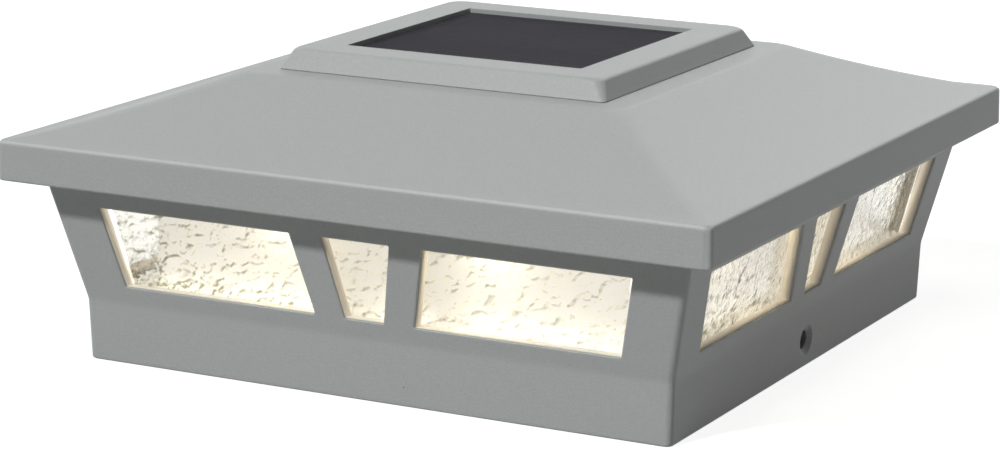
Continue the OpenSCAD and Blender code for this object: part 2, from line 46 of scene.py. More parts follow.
from dataclasses import dataclass, field
from enum import Enum

import bmesh
import bpy
import numpy as np
from mathutils import Matrix, Vector

MM = 0.001
Array = np.ndarray
Pair = tuple[float, float]
Tree = bpy.types.NodeTree
Node = bpy.types.Node
Socket = bpy.types.NodeSocket
WELD_MM = 1e-4  # points closer than this become one
POLE = 0.01  # radius in mm at which a turned profile meets its axis
CORNERS = tuple((x, y) for x in (-1, 1) for y in (-1, 1))
log = logging.getLogger("post_cap_light")


# ---------------------------------------------------------------- surfaces


class Side(Enum):
    """The four sides of the cap, as quarter turns from the front."""

    FRONT = 0
    RIGHT = 1
    BACK = 2
    LEFT = 3

    @property
    def label(self) -> str:
        """The side's name, as the nodes have it."""
        return self.name.lower()

    def turn(self, points: Array) -> Array:
        """Turns points of the front side to this side.

        Args:
            points: any shape with x, y and z last.

        Returns:
            The turned points, in the same shape.
        """
        c, s = [(1, 0), (0, 1), (-1, 0), (0, -1)][self.value]
        x, y, z = np.moveaxis(points, -1, 0)
        return np.stack([c * x - s * y, s * x + c * y, z], axis=-1)

    def turn_back(self, points: Array) -> Array:
        """Turns points of this side to the front."""
        return Side(-self.value % len(Side)).turn(points)


class Shell:
    """Grids of points that are welded into one closed mesh."""

    def __init__(self) -> None:
        """Starts with no points."""
        self.points: list[Array] = []
        self.quads: list[Array] = []
        self.count = 0

    def grid(self, points: Array, wrap: tuple[bool, bool] = (False, False), skip: Array | None = None) -> None:
        """Adds the quads of a grid.

        Args:
            points: rows x columns x 3, in millimetres.
            wrap: whether the last row joins the first, and the last column the first.
            skip: rows x columns of quads to leave out.
        """
        quads = grid_quads(points.shape, wrap)
        quads = quads.reshape(-1, 4) if skip is None else quads[~skip]
        self.points.append(points.reshape(-1, 3))
        self.quads.append(quads + self.count)
        self.count += len(self.points[-1])

    def island(self, points: Array) -> None:
        """Adds a grid that closes on itself both ways, turned so that its faces look outwards.

        Args:
            points: rows x columns x 3, in millimetres.
        """
        wrap = (True, True)
        if signed_volume(points.reshape(-1, 3), grid_quads(points.shape, wrap).reshape(-1, 4)) < 0:
            points = points[::-1]
        self.grid(points, wrap)

    def mesh(self, name: str) -> bpy.types.Mesh:
        """Welds what was added and makes the mesh.

        A quad with two corners in one place becomes a triangle, and one with more goes.

        Args:
            name: the mesh's name.

        Returns:
            The mesh in metres, with smooth faces.
        """
        points, quads = np.concatenate(self.points), np.concatenate(self.quads)
        cells = np.round(points / WELD_MM).astype(np.int64)
        _, first, index = np.unique(cells, axis=0, return_index=True, return_inverse=True)
        quads = index.reshape(-1)[quads]
        same = quads == np.roll(quads, -1, axis=1)
        whole, pinched = quads[~same.any(1)], quads[same.sum(1) == 1]
        drop = (pinched == np.roll(pinched, -1, axis=1)).argmax(1)
        keep = (np.arange(3)[None] + drop[:, None] + 1) % 4
        corners = np.concatenate([whole.ravel(), np.take_along_axis(pinched, keep, 1).ravel()])
        sizes = np.concatenate([np.full(len(whole), 4), np.full(len(pinched), 3)])
        starts = np.concatenate([[0], np.cumsum(sizes)[:-1]])
        made = bpy.data.meshes.new(name)
        made.vertices.add(len(first))
        made.vertices.foreach_set("co", (points[first] * MM).astype(np.float32).ravel())
        made.loops.add(len(corners))
        made.loops.foreach_set("vertex_index", corners.astype(np.int32))
        made.polygons.add(len(sizes))
        made.polygons.foreach_set("loop_start", starts.astype(np.int32))
        made.polygons.foreach_set("use_smooth", np.ones(len(sizes), bool))
        made.update(calc_edges=True)
        made.validate()
        return made


def grid_quads(shape: tuple[int, ...], wrap: tuple[bool, bool]) -> Array:
    """Numbers the corners of a grid's quads.

    Args:
        shape: rows, columns and whatever follows.
        wrap: whether the last row joins the first, and the last column the first.

    Returns:
        rows x columns of quads x 4 point numbers.
    """
    rows, cols = shape[:2]
    down, across = np.arange(rows if wrap[0] else rows - 1), np.arange(cols if wrap[1] else cols - 1)
    i, j = np.meshgrid(down, across, indexing="ij")
    k, m = (i + 1) % rows, (j + 1) % cols
    return np.stack([i * cols + j, i * cols + m, k * cols + m, k * cols + j], axis=-1)


def signed_volume(points: Array, quads: Array) -> float:
    """Sum of each face's first corner times its doubled area vector, over 0 if faces look outwards."""
    a, b, c, d = (points[quads[:, k]] for k in range(4))
    return float((a * np.cross(c - a, d - b)).sum())


def corner_arc(before: Array, here: Array, after: Array, radius: float, steps: int) -> Array:
    """The arc that rounds a corner and touches both of its edges.

    It begins and ends at radius x tan(half the turn) from the corner, and its points
    come from the two ends' directions, blended by sines of the angle to go.

    Args:
        before: the corner before it.
        here: the corner.
        after: the corner after it.
        radius: radius of the arc.
        steps: segments of the arc.

    Returns:
        steps + 1 points x 2.
    """
    back, ahead = before - here, after - here
    back, ahead = back / np.linalg.norm(back), ahead / np.linalg.norm(ahead)
    turn = math.pi - math.acos(float(np.clip(back @ ahead, -1, 1)))
    reach = radius * math.tan(turn / 2)
    bisector = (back + ahead) / np.linalg.norm(back + ahead)
    centre = here + bisector * radius / math.cos(turn / 2)
    start, end = here + back * reach - centre, here + ahead * reach - centre
    t = np.linspace(0, 1, steps + 1)[:, None]
    return centre + (np.sin((1 - t) * turn) * start + np.sin(t * turn) * end) / math.sin(turn)


def filleted(corners: list[tuple[float, float, float]], steps: int = 4, closed: bool = True) -> Array:
    """A polygon with its corners rounded.

    Args:
        corners: (x, y, radius) of each corner; a radius of 0 keeps it sharp.
        steps: segments of each arc.
        closed: whether the last corner joins the first.

    Returns:
        The points, n x 2.
    """
    points = np.array([c[:2] for c in corners], float)
    last = len(points) - 1
    out: list[Array] = []
    for k, (_, _, radius) in enumerate(corners):
        if radius <= 0 or (not closed and k in (0, last)):
            out.append(points[k][None])
        else:
            out.append(corner_arc(points[k - 1], points[k], points[(k + 1) % len(points)], radius, steps))
    return np.concatenate(out)


def raised(loops: Array, z: Array) -> Array:
    """Sets each loop of x, y points at its own height, as loops x points x 3."""
    return np.concatenate([loops, np.broadcast_to(z[:, None, None], loops.shape[:2] + (1,))], axis=-1)


def square_loops(half: Array, radius: Array, line: Array, steps: int) -> Array:
    """Loops round a rounded square, one for each half width.

    On each side the points lie at line x (half - radius) from its middle, and then on a
    quarter circle of that radius to the next side.

    Args:
        half: half widths, one for each loop.
        radius: corner radii, one for each loop.
        line: places along a side from -1 to 1, or loops x places in millimetres.
        steps: segments of each corner.

    Returns:
        loops x points x 2.
    """
    half, radius = np.asarray(half, float)[:, None], np.asarray(radius, float)[:, None]
    flat = half - radius
    along = line[None] * flat if line.ndim == 1 else line
    straight = np.stack([along, -half + 0 * along], axis=-1)
    a = np.linspace(-math.pi / 2, 0, steps + 1)[None, 1:-1]
    arc = np.stack([flat + radius * np.cos(a), -flat + radius * np.sin(a)], axis=-1)
    side = np.concatenate([straight, arc], axis=1)
    x, y = side[..., 0], side[..., 1]
    turned = [np.stack(p, axis=-1) for p in ((x, y), (-y, x), (-x, -y), (y, -x))]
    return np.concatenate(turned, axis=1)


def square_sweep(profile: Array, radius: Array | float, across: int = 2, steps: int = 6) -> Array:
    """A profile of (half width, z) points carried round a rounded square.

    Args:
        profile: n x 2 points.
        radius: corner radius at each point, or one for all; it is held under the half width.
        across: segments of each straight side.
        steps: segments of each corner.

    Returns:
        n x m x 3 points, a loop for each profile point.
    """
    half = profile[:, 0]
    radius = np.minimum(np.broadcast_to(np.asarray(radius, float), half.shape), half)
    return raised(square_loops(half, radius, np.linspace(-1, 1, across + 1), steps), profile[:, 1])


def lathe(profile: Array, centre: Pair = (0, 0), sides: int = 32) -> Array:
    """A profile turned round an upright axis.

    Args:
        profile: n x 2, as (radius, z) points.
        centre: x and y of the axis.
        sides: points of each ring.

    Returns:
        n x sides x 3 points, a ring for each profile point.
    """
    a = np.linspace(0, 2 * math.pi, sides, endpoint=False)
    x = centre[0] + profile[:, :1] * np.cos(a)
    y = centre[1] + profile[:, :1] * np.sin(a)
    return np.stack([x, y, np.broadcast_to(profile[:, 1:], x.shape)], axis=-1)


# ---------------------------------------------------------------- pieces


def placed(name: str, data: bpy.types.ID) -> bpy.types.Object:
    """Makes an object of a mesh, lamp or camera and puts it in the scene.

    Args:
        name: the object's name.
        data: what it shows.

    Returns:
        The new object.
    """
    made = bpy.data.objects.new(name, data)
    bpy.context.scene.collection.objects.link(made)
    return made


def dress(obj: bpy.types.Object, finish: "Finish") -> None:
    """Gives an object one finish.

    Args:
        obj: a new piece or a CAD node.
        finish: its finish.
    """
    material = finish.material()
    obj.data.materials.clear()
    obj.data.materials.append(material)


def dress_nodes(finishes: dict["Finish", tuple[str, ...]]) -> None:
    """Gives their finishes to the CAD nodes that keep their own shape.

    Args:
        finishes: the nodes that get each finish.
    """
    for finish, nodes in finishes.items():
        for node in nodes:
            dress(bpy.data.objects[node], finish)


def piece(mesh: bpy.types.Mesh, node: str, finish: "Finish", body: str = "cap") -> bpy.types.Object:
    """Makes a mesh a piece that stands for a CAD node.

    Args:
        mesh: the finished mesh.
        node: the CAD node that it stands for.
        finish: its finish.
        body: the CAD body that it rides on.

    Returns:
        The new object.
    """
    obj = placed(mesh.name, mesh)
    dress(obj, finish)
    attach(obj, body)
    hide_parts(node)
    log.info("%s: %d faces for node %s", obj.name, len(mesh.polygons), node)
    return obj


def mesh_points(mesh: bpy.types.Mesh) -> Array:
    """Reads a mesh's points.

    Args:
        mesh: the mesh, in metres.

    Returns:
        n x 3 points in millimetres.
    """
    found = np.empty(len(mesh.vertices) * 3, np.float32)
    mesh.vertices.foreach_get("co", found)
    return found.reshape(-1, 3).astype(float) / MM


def write_values(mesh: bpy.types.Mesh, name: str, values: Array) -> None:
    """Writes one value for each point of the mesh, for a finish to read under this name."""
    made = mesh.attributes.new(name, "FLOAT", "POINT")
    made.data.foreach_set("value", values.astype(np.float32))


def sharpen(obj: bpy.types.Object, degrees: float = 40) -> None:
    """Keeps sharp edges sharp, and lets flat faces govern the shading beside small rounds.

    Args:
        obj: the piece.
        degrees: the angle over which an edge is sharp.
    """
    obj.data.set_sharp_from_angle(angle=math.radians(degrees))
    weighted = obj.modifiers.new("flat_faces_govern", "WEIGHTED_NORMAL")
    weighted.keep_sharp = True


def softened(node: str, finish: "Finish", width: float, body: str) -> bpy.types.Object:
    """A copy of a CAD node with welded faces and small rounds on its edges.

    Args:
        node: the CAD node.
        finish: its finish.
        width: width of the rounds in millimetres.
        body: the CAD body that it rides on.

    Returns:
        The new object.
    """
    weld, flat, round_over = 1e-6, 0.5, 35  # metres, degrees, degrees
    mesh = bpy.data.objects[node].data.copy()
    mesh.name = f"{node}_moulding"
    work = bmesh.new()
    work.from_mesh(mesh)
    bmesh.ops.remove_doubles(work, verts=work.verts, dist=weld)
    bmesh.ops.dissolve_limit(work, angle_limit=math.radians(flat), verts=work.verts, edges=work.edges)
    work.to_mesh(mesh)
    work.free()
    mesh.polygons.foreach_set("use_smooth", np.ones(len(mesh.polygons), bool))
    obj = piece(mesh, node, finish, body)
    bevel = obj.modifiers.new("edge_rounds", "BEVEL")
    bevel.width = width * MM
    bevel.segments = 2
    bevel.limit_method = "ANGLE"
    bevel.angle_limit = math.radians(round_over)
    bevel.use_clamp_overlap = True
    bevel.harden_normals = False
    sharpen(obj)
    return obj


# ---------------------------------------------------------------- finishes


def linear(colour: str) -> tuple[float, float, float, float]:
    """Turns an sRGB hex colour to linear light.

    Args:
        colour: "#rrggbb".

    Returns:
        Red, green and blue, and an alpha of 1.
    """
    parts = [int(colour[k : k + 2], 16) / 255 for k in (1, 3, 5)]
    r, g, b = (c / 12.92 if c <= 0.04045 else ((c + 0.055) / 1.055) ** 2.4 for c in parts)
    return r, g, b, 1.0


def scaled(colour: str, share: float) -> tuple[float, ...]:
    """A hex colour as linear light, times a share, and an alpha of 1."""
    return tuple(min(1.0, c * share) for c in linear(colour)[:3]) + (1.0,)


def fill(tree: Tree, node: Node, inputs: dict) -> None:
    """Fills inputs of a node.

    Args:
        tree: the node's tree.
        node: the node.
        inputs: by name or number, a value for the socket or another node's output.
    """
    for key, value in inputs.items():
        if isinstance(value, Socket):
            tree.links.new(value, node.inputs[key])
        else:
            node.inputs[key].default_value = value


def add(tree: Tree, kind: str, inputs: dict | None = None, **settings: object) -> Node:
    """Adds one node with its settings and fills its inputs.

    Args:
        tree: the tree that it goes into.
        kind: the node's type, after ShaderNode.
        inputs: as for fill.
        settings: attributes of the node.

    Returns:
        The node.
    """
    made = tree.nodes.new(f"ShaderNode{kind}")
    for key, value in settings.items():
        setattr(made, key, value)
    fill(tree, made, inputs or {})
    return made


def square_distance(tree: Tree, where: Socket) -> Socket:
    """Works out the half width of the square that a point lies on: the larger of |x| and |y|.

    Args:
        tree: the material's tree.
        where: the point.

    Returns:
        The half width, in metres.
    """
    parts = add(tree, "SeparateXYZ", {0: where})
    x, y = (add(tree, "Math", {0: parts.outputs[k]}, operation="ABSOLUTE").outputs[0] for k in (0, 1))
    return add(tree, "Math", {0: x, 1: y}, operation="MAXIMUM").outputs[0]


@dataclass(frozen=True)
class Finish:
    """A surface with a soft mottle of its colour and, on some, a fine bump.

    A mottle_mm or grain_mm of 0 leaves that pattern out, and the finishes below add
    their own. Patterns read Object coordinates, which are in metres.
    """

    name: str
    colour: str
    roughness: float = 0.5
    specular: float = 0.5
    metallic: float = 0.0
    ior: float = 1.5
    mottle_mm: float = 6.0
    mottle_depth: float = 0.04
    mottle_detail: float = 3.0
    grain_mm: float = 0.0
    grain_height_mm: float = 0.01
    grain_detail: float = 2.0

    def material(self) -> bpy.types.Material:
        """Finds the finish's material, or makes it the first time.

        Returns:
            The material.
        """
        found = bpy.data.materials.get(self.name)
        if found is not None:
            return found
        made = bpy.data.materials.new(self.name)
        made.use_nodes = True
        tree = made.node_tree
        shader = tree.nodes["Principled BSDF"]
        plain = {"Base Color": linear(self.colour), "Roughness": self.roughness}
        plain |= {"Specular IOR Level": self.specular, "Metallic": self.metallic}
        if not self.metallic:
            plain["IOR"] = self.ior
        where = add(tree, "TexCoord").outputs["Object"]
        fill(tree, shader, plain | self.pattern(tree, shader, where))
        return made

    def pattern(self, tree: Tree, shader: Node, where: Socket) -> dict:
        """Makes the finish's pattern; this one is the mottle and the grain.

        Args:
            tree: the material's tree.
            shader: its shader.
            where: the point's Object coordinates.

        Returns:
            What the shader's inputs take from it.
        """
        found = {}
        if self.mottle_mm:
            size = {"Vector": where, "Scale": 1 / MM / self.mottle_mm, "Detail": self.mottle_detail}
            noise = add(tree, "TexNoise", size).outputs["Fac"]
            low, high = (scaled(self.colour, 1 + d) for d in (-self.mottle_depth, self.mottle_depth))
            found["Base Color"] = add(tree, "Mix", {0: noise, 6: low, 7: high}, data_type="RGBA").outputs[2]
        if self.grain_mm:
            size = {"Vector": where, "Scale": 1 / MM / self.grain_mm, "Detail": self.grain_detail}
            noise = add(tree, "TexNoise", size).outputs["Fac"]
            rise = {"Height": noise, "Strength": 1.0, "Distance": self.grain_height_mm * MM}
            found["Normal"] = add(tree, "Bump", rise).outputs["Normal"]
        return found


@dataclass(frozen=True)
class PowderCoat(Finish):
    """Polyester powder coat, baked on cast aluminium: a satin skin with an orange peel and a few pin holes.

    Sharp outer edges get a painted highlight, a lighter colour where they catch the light. Its peel is drawn a
    little coarser than the real one, so that it shows.
    """

    mottle_mm: float = 0.5
    mottle_depth: float = 0.12
    grain_mm: float = 0.45
    grain_height_mm: float = 0.08
    edge_colour: str = "#c9cdcc"
    hole_spacing_mm: float = 26.0
    hole_reach: float = 0.012
    hole_shade: float = 0.45

    def pattern(self, tree: Tree, shader: Node, where: Socket) -> dict:
        """Adds sparse dark pin holes and the painted edge highlight to the peel.

        Args:
            tree: the material's tree.
            shader: its shader.
            where: the point's Object coordinates.

        Returns:
            What the shader's inputs take from it.
        """
        found = super().pattern(tree, shader, where)
        spots = add(tree, "TexVoronoi", {"Vector": where, "Scale": 1 / MM / self.hole_spacing_mm})
        hole = {0: spots.outputs["Distance"], 1: self.hole_reach}
        hole = add(tree, "Math", hole, operation="LESS_THAN").outputs[0]
        dark = {0: hole, 6: found["Base Color"], 7: scaled(self.colour, self.hole_shade)}
        spotted = add(tree, "Mix", dark, data_type="RGBA").outputs[2]
        # Painted highlight: the edge value lightens the colour along the brim and the eave's corners.
        edge = add(tree, "Attribute", attribute_name="edge").outputs["Fac"]
        light = {0: edge, 6: spotted, 7: linear(self.edge_colour)}
        return found | {"Base Color": add(tree, "Mix", light, data_type="RGBA").outputs[2]}


@dataclass(frozen=True)
class ClearGlass(Finish):
    """Clear pressed glass: the hammered relief is in the mesh, and the surface itself is fire polished.

    Where the relief turns sharply it carries a painted grey-green shade, and the border of its
    hammered field carries a painted glow.
    """

    mottle_mm: float = 0.0
    grain_mm: float = 1.3
    grain_height_mm: float = 0.05
    grain_detail: float = 3.0
    depth_tint: str = "#625f42"
    edge_glow: str = "#fffaf0"
    shadow_tint: str = "#f2efe6"

    def pattern(self, tree: Tree, shader: Node, where: Socket) -> dict:
        """Paints shade into the creases, paints a glow on the border of the hammered field and lets the lamps
        behind shine out.

        Args:
            tree: the material's tree.
            shader: its shader.
            where: the point's Object coordinates.

        Returns:
            What the shader's inputs take from it.
        """
        # Painted shade: where the crease value is high the glass takes the dark grey-green tint.
        crease = add(tree, "Attribute", attribute_name="crease").outputs["Fac"]
        tint = {0: crease, 6: linear(self.colour), 7: linear(self.depth_tint)}
        path = add(tree, "LightPath")
        clear = add(tree, "BsdfTransparent", {"Color": linear(self.shadow_tint)})
        both = {0: path.outputs["Is Shadow Ray"], 1: shader.outputs[0], 2: clear.outputs[0]}
        fill(tree, tree.nodes["Material Output"], {"Surface": add(tree, "MixShader", both).outputs[0]})
        # The border line's emission is a painted glow; the glass is no lamp.
        return super().pattern(tree, shader, where) | {
            "Base Color": add(tree, "Mix", tint, data_type="RGBA").outputs[2],
            "Transmission Weight": 1.0,
            "Emission Color": linear(self.edge_glow),
            "Emission Strength": add(tree, "Attribute", attribute_name="ground_edge").outputs["Fac"],
        }


@dataclass(frozen=True)
class LitPlastic(Finish):
    """White moulded plastic of the light channel: the lamps light it, and a painted glow stands in for what it
    throws back.
    """

    mottle_mm: float = 5.0
    mottle_depth: float = 0.03
    glow: str = "#fffbf5"
    even: float = 0.265
    outside_mm: float = 65.9

    def pattern(self, tree: Tree, shader: Node, where: Socket) -> dict:
        """Adds an even painted glow, on the outside only, that stands in for the lamp light between the white
        walls.

        Args:
            tree: the material's tree.
            shader: its shader.
            where: the point's Object coordinates.

        Returns:
            What the shader's inputs take from it.
        """
        # Painted glow: constant emission on the outside stands in for light bounced between the white walls.
        outside = {0: square_distance(tree, where), 1: self.outside_mm * MM}
        outside = add(tree, "Math", outside, operation="GREATER_THAN").outputs[0]
        glow = add(tree, "Math", {0: outside, 1: self.even}, operation="MULTIPLY").outputs[0]
        light = {"Emission Color": linear(self.glow), "Emission Strength": glow}
        return super().pattern(tree, shader, where) | light


@dataclass(frozen=True)
class LitSilicone(Finish):
    """Milky silicone round the panes, with a painted glow for the lamp light that comes through it."""

    mottle_mm: float = 2.0
    mottle_depth: float = 0.05
    glow: str = "#ffeed2"
    through: float = 0.2

    def pattern(self, tree: Tree, shader: Node, where: Socket) -> dict:
        """Adds a painted glow for the light that comes through, most of it next to the pane.

        Args:
            tree: the material's tree.
            shader: its shader.
            where: the point's Object coordinates.

        Returns:
            What the shader's inputs take from it.
        """
        # Painted glow: emission, strongest next to the pane, stands in for lamp light through the silicone.
        near = add(tree, "Attribute", attribute_name="near_pane").outputs["Fac"]
        glow = add(tree, "Math", {0: near, 1: self.through}, operation="MULTIPLY").outputs[0]
        light = {"Emission Color": linear(self.glow), "Emission Strength": glow}
        return super().pattern(tree, shader, where) | light


@dataclass(frozen=True)
class Lamp(Finish):
    """Lamp package with a phosphor window that shines warm white."""

    strength: float = 12.0

    def pattern(self, tree: Tree, shader: Node, where: Socket) -> dict:
        """The whole package shines."""
        return {"Emission Color": linear(self.colour), "Emission Strength": self.strength}


@dataclass(frozen=True)
class PanelFilm(Finish):
    """Dark matt anti-reflective cover of the panel: the strips and their contact lines show through it faintly."""

    mottle_mm: float = 0.0
    grain_mm: float = 0.5
    grain_height_mm: float = 0.004
    cover: float = 0.7

    def pattern(self, tree: Tree, shader: Node, where: Socket) -> dict:
        """Lets what lies below show through the grained film."""
        return super().pattern(tree, shader, where) | {"Alpha": self.cover}


@dataclass(frozen=True)
class Moulding(Finish):
    """Injection moulded plastic with a fine spark-eroded texture from its mould."""

    mottle_mm: float = 8.0
    mottle_depth: float = 0.03
    grain_mm: float = 0.5


@dataclass(frozen=True)
class Foam(Finish):
    """Closed-cell foam or silicone strip: matt, with pores."""

    mottle_mm: float = 2.0
    mottle_depth: float = 0.1
    grain_mm: float = 0.7
    grain_height_mm: float = 0.06
    grain_detail: float = 4.0


PAINT = PowderCoat("powder_coat_grey", "#b3b7b6", roughness=0.45, specular=0.3)
GLASS = ClearGlass("pressed_glass_hammered", "#fdfcf8", roughness=0.02, ior=1.49)
CHANNEL = LitPlastic("abs_white_light_channel", "#f5f4ef", roughness=0.45)
LAMP = Lamp("lamp_phosphor_warm", "#ffe3a8")
LAMP_BOARD = Moulding("solder_mask_white", "#f1efe8", roughness=0.35)
SEAL_WHITE = LitSilicone("silicone_seal_white", "#efe8da", roughness=0.6)
SEAL_BLACK = Foam("epdm_foam_black", "#2b2b2b", roughness=0.9)
COVER_FILM = PanelFilm("panel_cover_film", "#2c2a31", roughness=0.5, specular=0.03)
CELLS = Finish("silicon_strips", "#47454d", roughness=0.6, specular=0.1)
ADHESIVE = Finish("panel_adhesive_black", "#2f2e34", roughness=0.7, specular=0.1)
BOARD = Finish("solder_mask_green", "#1f5a38", roughness=0.35)
WHITE_ABS = Moulding("abs_white_housing", "#efece3", roughness=0.4)
BLACK_ABS = Moulding("abs_black", "#1e1e20", roughness=0.45)
ZINC = Finish("zinc_plated_steel", "#b9bcc0", roughness=0.3, metallic=1.0)
NICKEL = Finish("nickel_plated_spring_steel", "#c9c6bd", roughness=0.22, metallic=1.0)
SLEEVE = Finish("battery_sleeve_blue", "#2e5f9e", roughness=0.3)
FERRITE = Finish("ferrite_core", "#2c2a28", roughness=0.7)
CAN = Finish("capacitor_sleeve", "#26355e", roughness=0.35)
LEAD = Finish("lead_jacket_red", "#a02a22", roughness=0.4)


# ---------------------------------------------------------------- castings


@dataclass
class Roof:
    """Cast hipped roof: eave, dipping slopes, collar, and the bosses below."""

    eave: float = 94.7
    eave_low: float = 46.4
    eave_high: float = 56.3
    draft: float = 0.2
    thick: float = 2.8
    foot: float = 91.9
    head: float = 52.8
    head_z: float = 70.0
    dip: float = 0.85
    collar: float = 51.4
    collar_z: float = 70.4
    shoulder: float = 6.0
    opening: float = 38.0
    landing: float = 83.8
    landing_z: float = 49.5
    eave_round: float = 1.2
    corner_low: float = 2.0
    corner_high: float = 5.0
    boss_at: float = 59.0
    boss_r: float = 5.1
    boss_low: float = 30.0
    bore_r: float = 2.05
    bore_end: float = 43.0
    edge_reach: float = 0.82
    edge_fade: float = 0.45
    corner_cut: float = 0.3

    @property
    def brim_z(self) -> float:
        """Height of the sharp edge that the eave's round replaces."""
        return self.eave_high + 0.1

    def slope(self, half: Array) -> Array:
        """Heights of the slope at half widths: straight from foot to head, less a shallow parabola."""
        t = (self.foot - half) / (self.foot - self.head)
        return self.eave_high + (self.head_z - self.eave_high) * t - 4 * self.dip * t * (1 - t)

    def profile(self) -> tuple[Array, Array]:
        """Draws the casting's section, and the corners that it has in plan.

        Returns:
            The (half width, z) points, and the corner radius at each.
        """
        # The slope stops short of the rounds at the eave and the collar.
        run = np.linspace(self.foot - 1.2, self.head + 0.6, 16)
        slope = [(h, z, 0.0) for h, z in zip(run, self.slope(run))]
        under = np.linspace(self.head, self.landing, 10)
        lining = [(h, z - self.thick, 0.0) for h, z in zip(under, self.slope(under))]
        inner = self.eave - self.thick - 0.2
        outline = filleted(
            [
                (inner, self.eave_low, 0.5),
                (self.eave, self.eave_low, 0.6),
                (self.eave - 0.8 * self.draft, self.eave_high - 1.6, 0.0),
                (self.eave - self.draft, self.brim_z, self.eave_round),
                *slope,
                (self.collar + 0.45, self.collar_z, self.shoulder),
                (self.opening, self.collar_z, 0.4),
                (self.opening, self.collar_z - self.thick, 0.3),
                (self.collar - 2.5, self.collar_z - self.thick, 0.6),
                *lining,
                (self.landing, self.landing_z, 0.3),
                (inner, self.landing_z, 0.6),
            ],
            steps=6,
        )
        t = np.clip((self.foot - outline[:, 0]) / (self.foot - self.head), 0, 1)
        radius = self.corner_low + (self.corner_high - self.corner_low) * t
        return outline, np.where(outline[:, 0] < self.opening + 1, 1.0, radius)

    def mark(self, mesh: bpy.types.Mesh) -> None:
        """Writes where the painted highlight falls: near the brim and the four upright corners of the eave.

        The value is 1 on the edge itself and falls to 0 at edge_reach from it. A round
        corner lies corner_cut of its radius inside the sharp one.

        Args:
            mesh: the roof's mesh.
        """
        points = mesh_points(mesh)
        wide, narrow = np.abs(points[:, :2]).max(-1), np.abs(points[:, :2]).min(-1)
        brim = np.hypot(self.eave - self.draft - wide, self.brim_z - points[:, 2])
        corner = np.hypot(self.eave - wide, self.eave - narrow) - self.corner_cut * self.corner_low
        near = (self.edge_reach - np.minimum(brim, corner)) / self.edge_fade
        # Painted highlight: the finish lightens the colour where this value is high.
        write_values(mesh, "edge", np.clip(near, 0, 1))

    def build(self) -> None:
        """Makes the roof's piece, with a blind boss for each screw that ends within the slope."""
        shell = Shell()
        outline, radius = self.profile()
        shell.island(square_sweep(outline, radius, across=24, steps=12))
        tube = filleted(
            [
                (self.bore_r, self.boss_low, 0.2), (self.boss_r, self.boss_low, 0.4),
                (self.boss_r, self.head_z, 0), (POLE, self.head_z, 0),
                (POLE, self.bore_end, 0), (self.bore_r, self.bore_end, 0),
            ],
            steps=3,
        )
        for x, y in CORNERS:
            boss = lathe(tube, (x * self.boss_at, y * self.boss_at))
            within = self.slope(np.abs(boss[..., :2]).max(-1)) - self.thick / 2
            boss[..., 2] = np.minimum(boss[..., 2], within)
            shell.island(boss)
        mesh = shell.mesh("roof_casting")
        self.mark(mesh)
        sharpen(piece(mesh, "roof_cover", PAINT), 60)


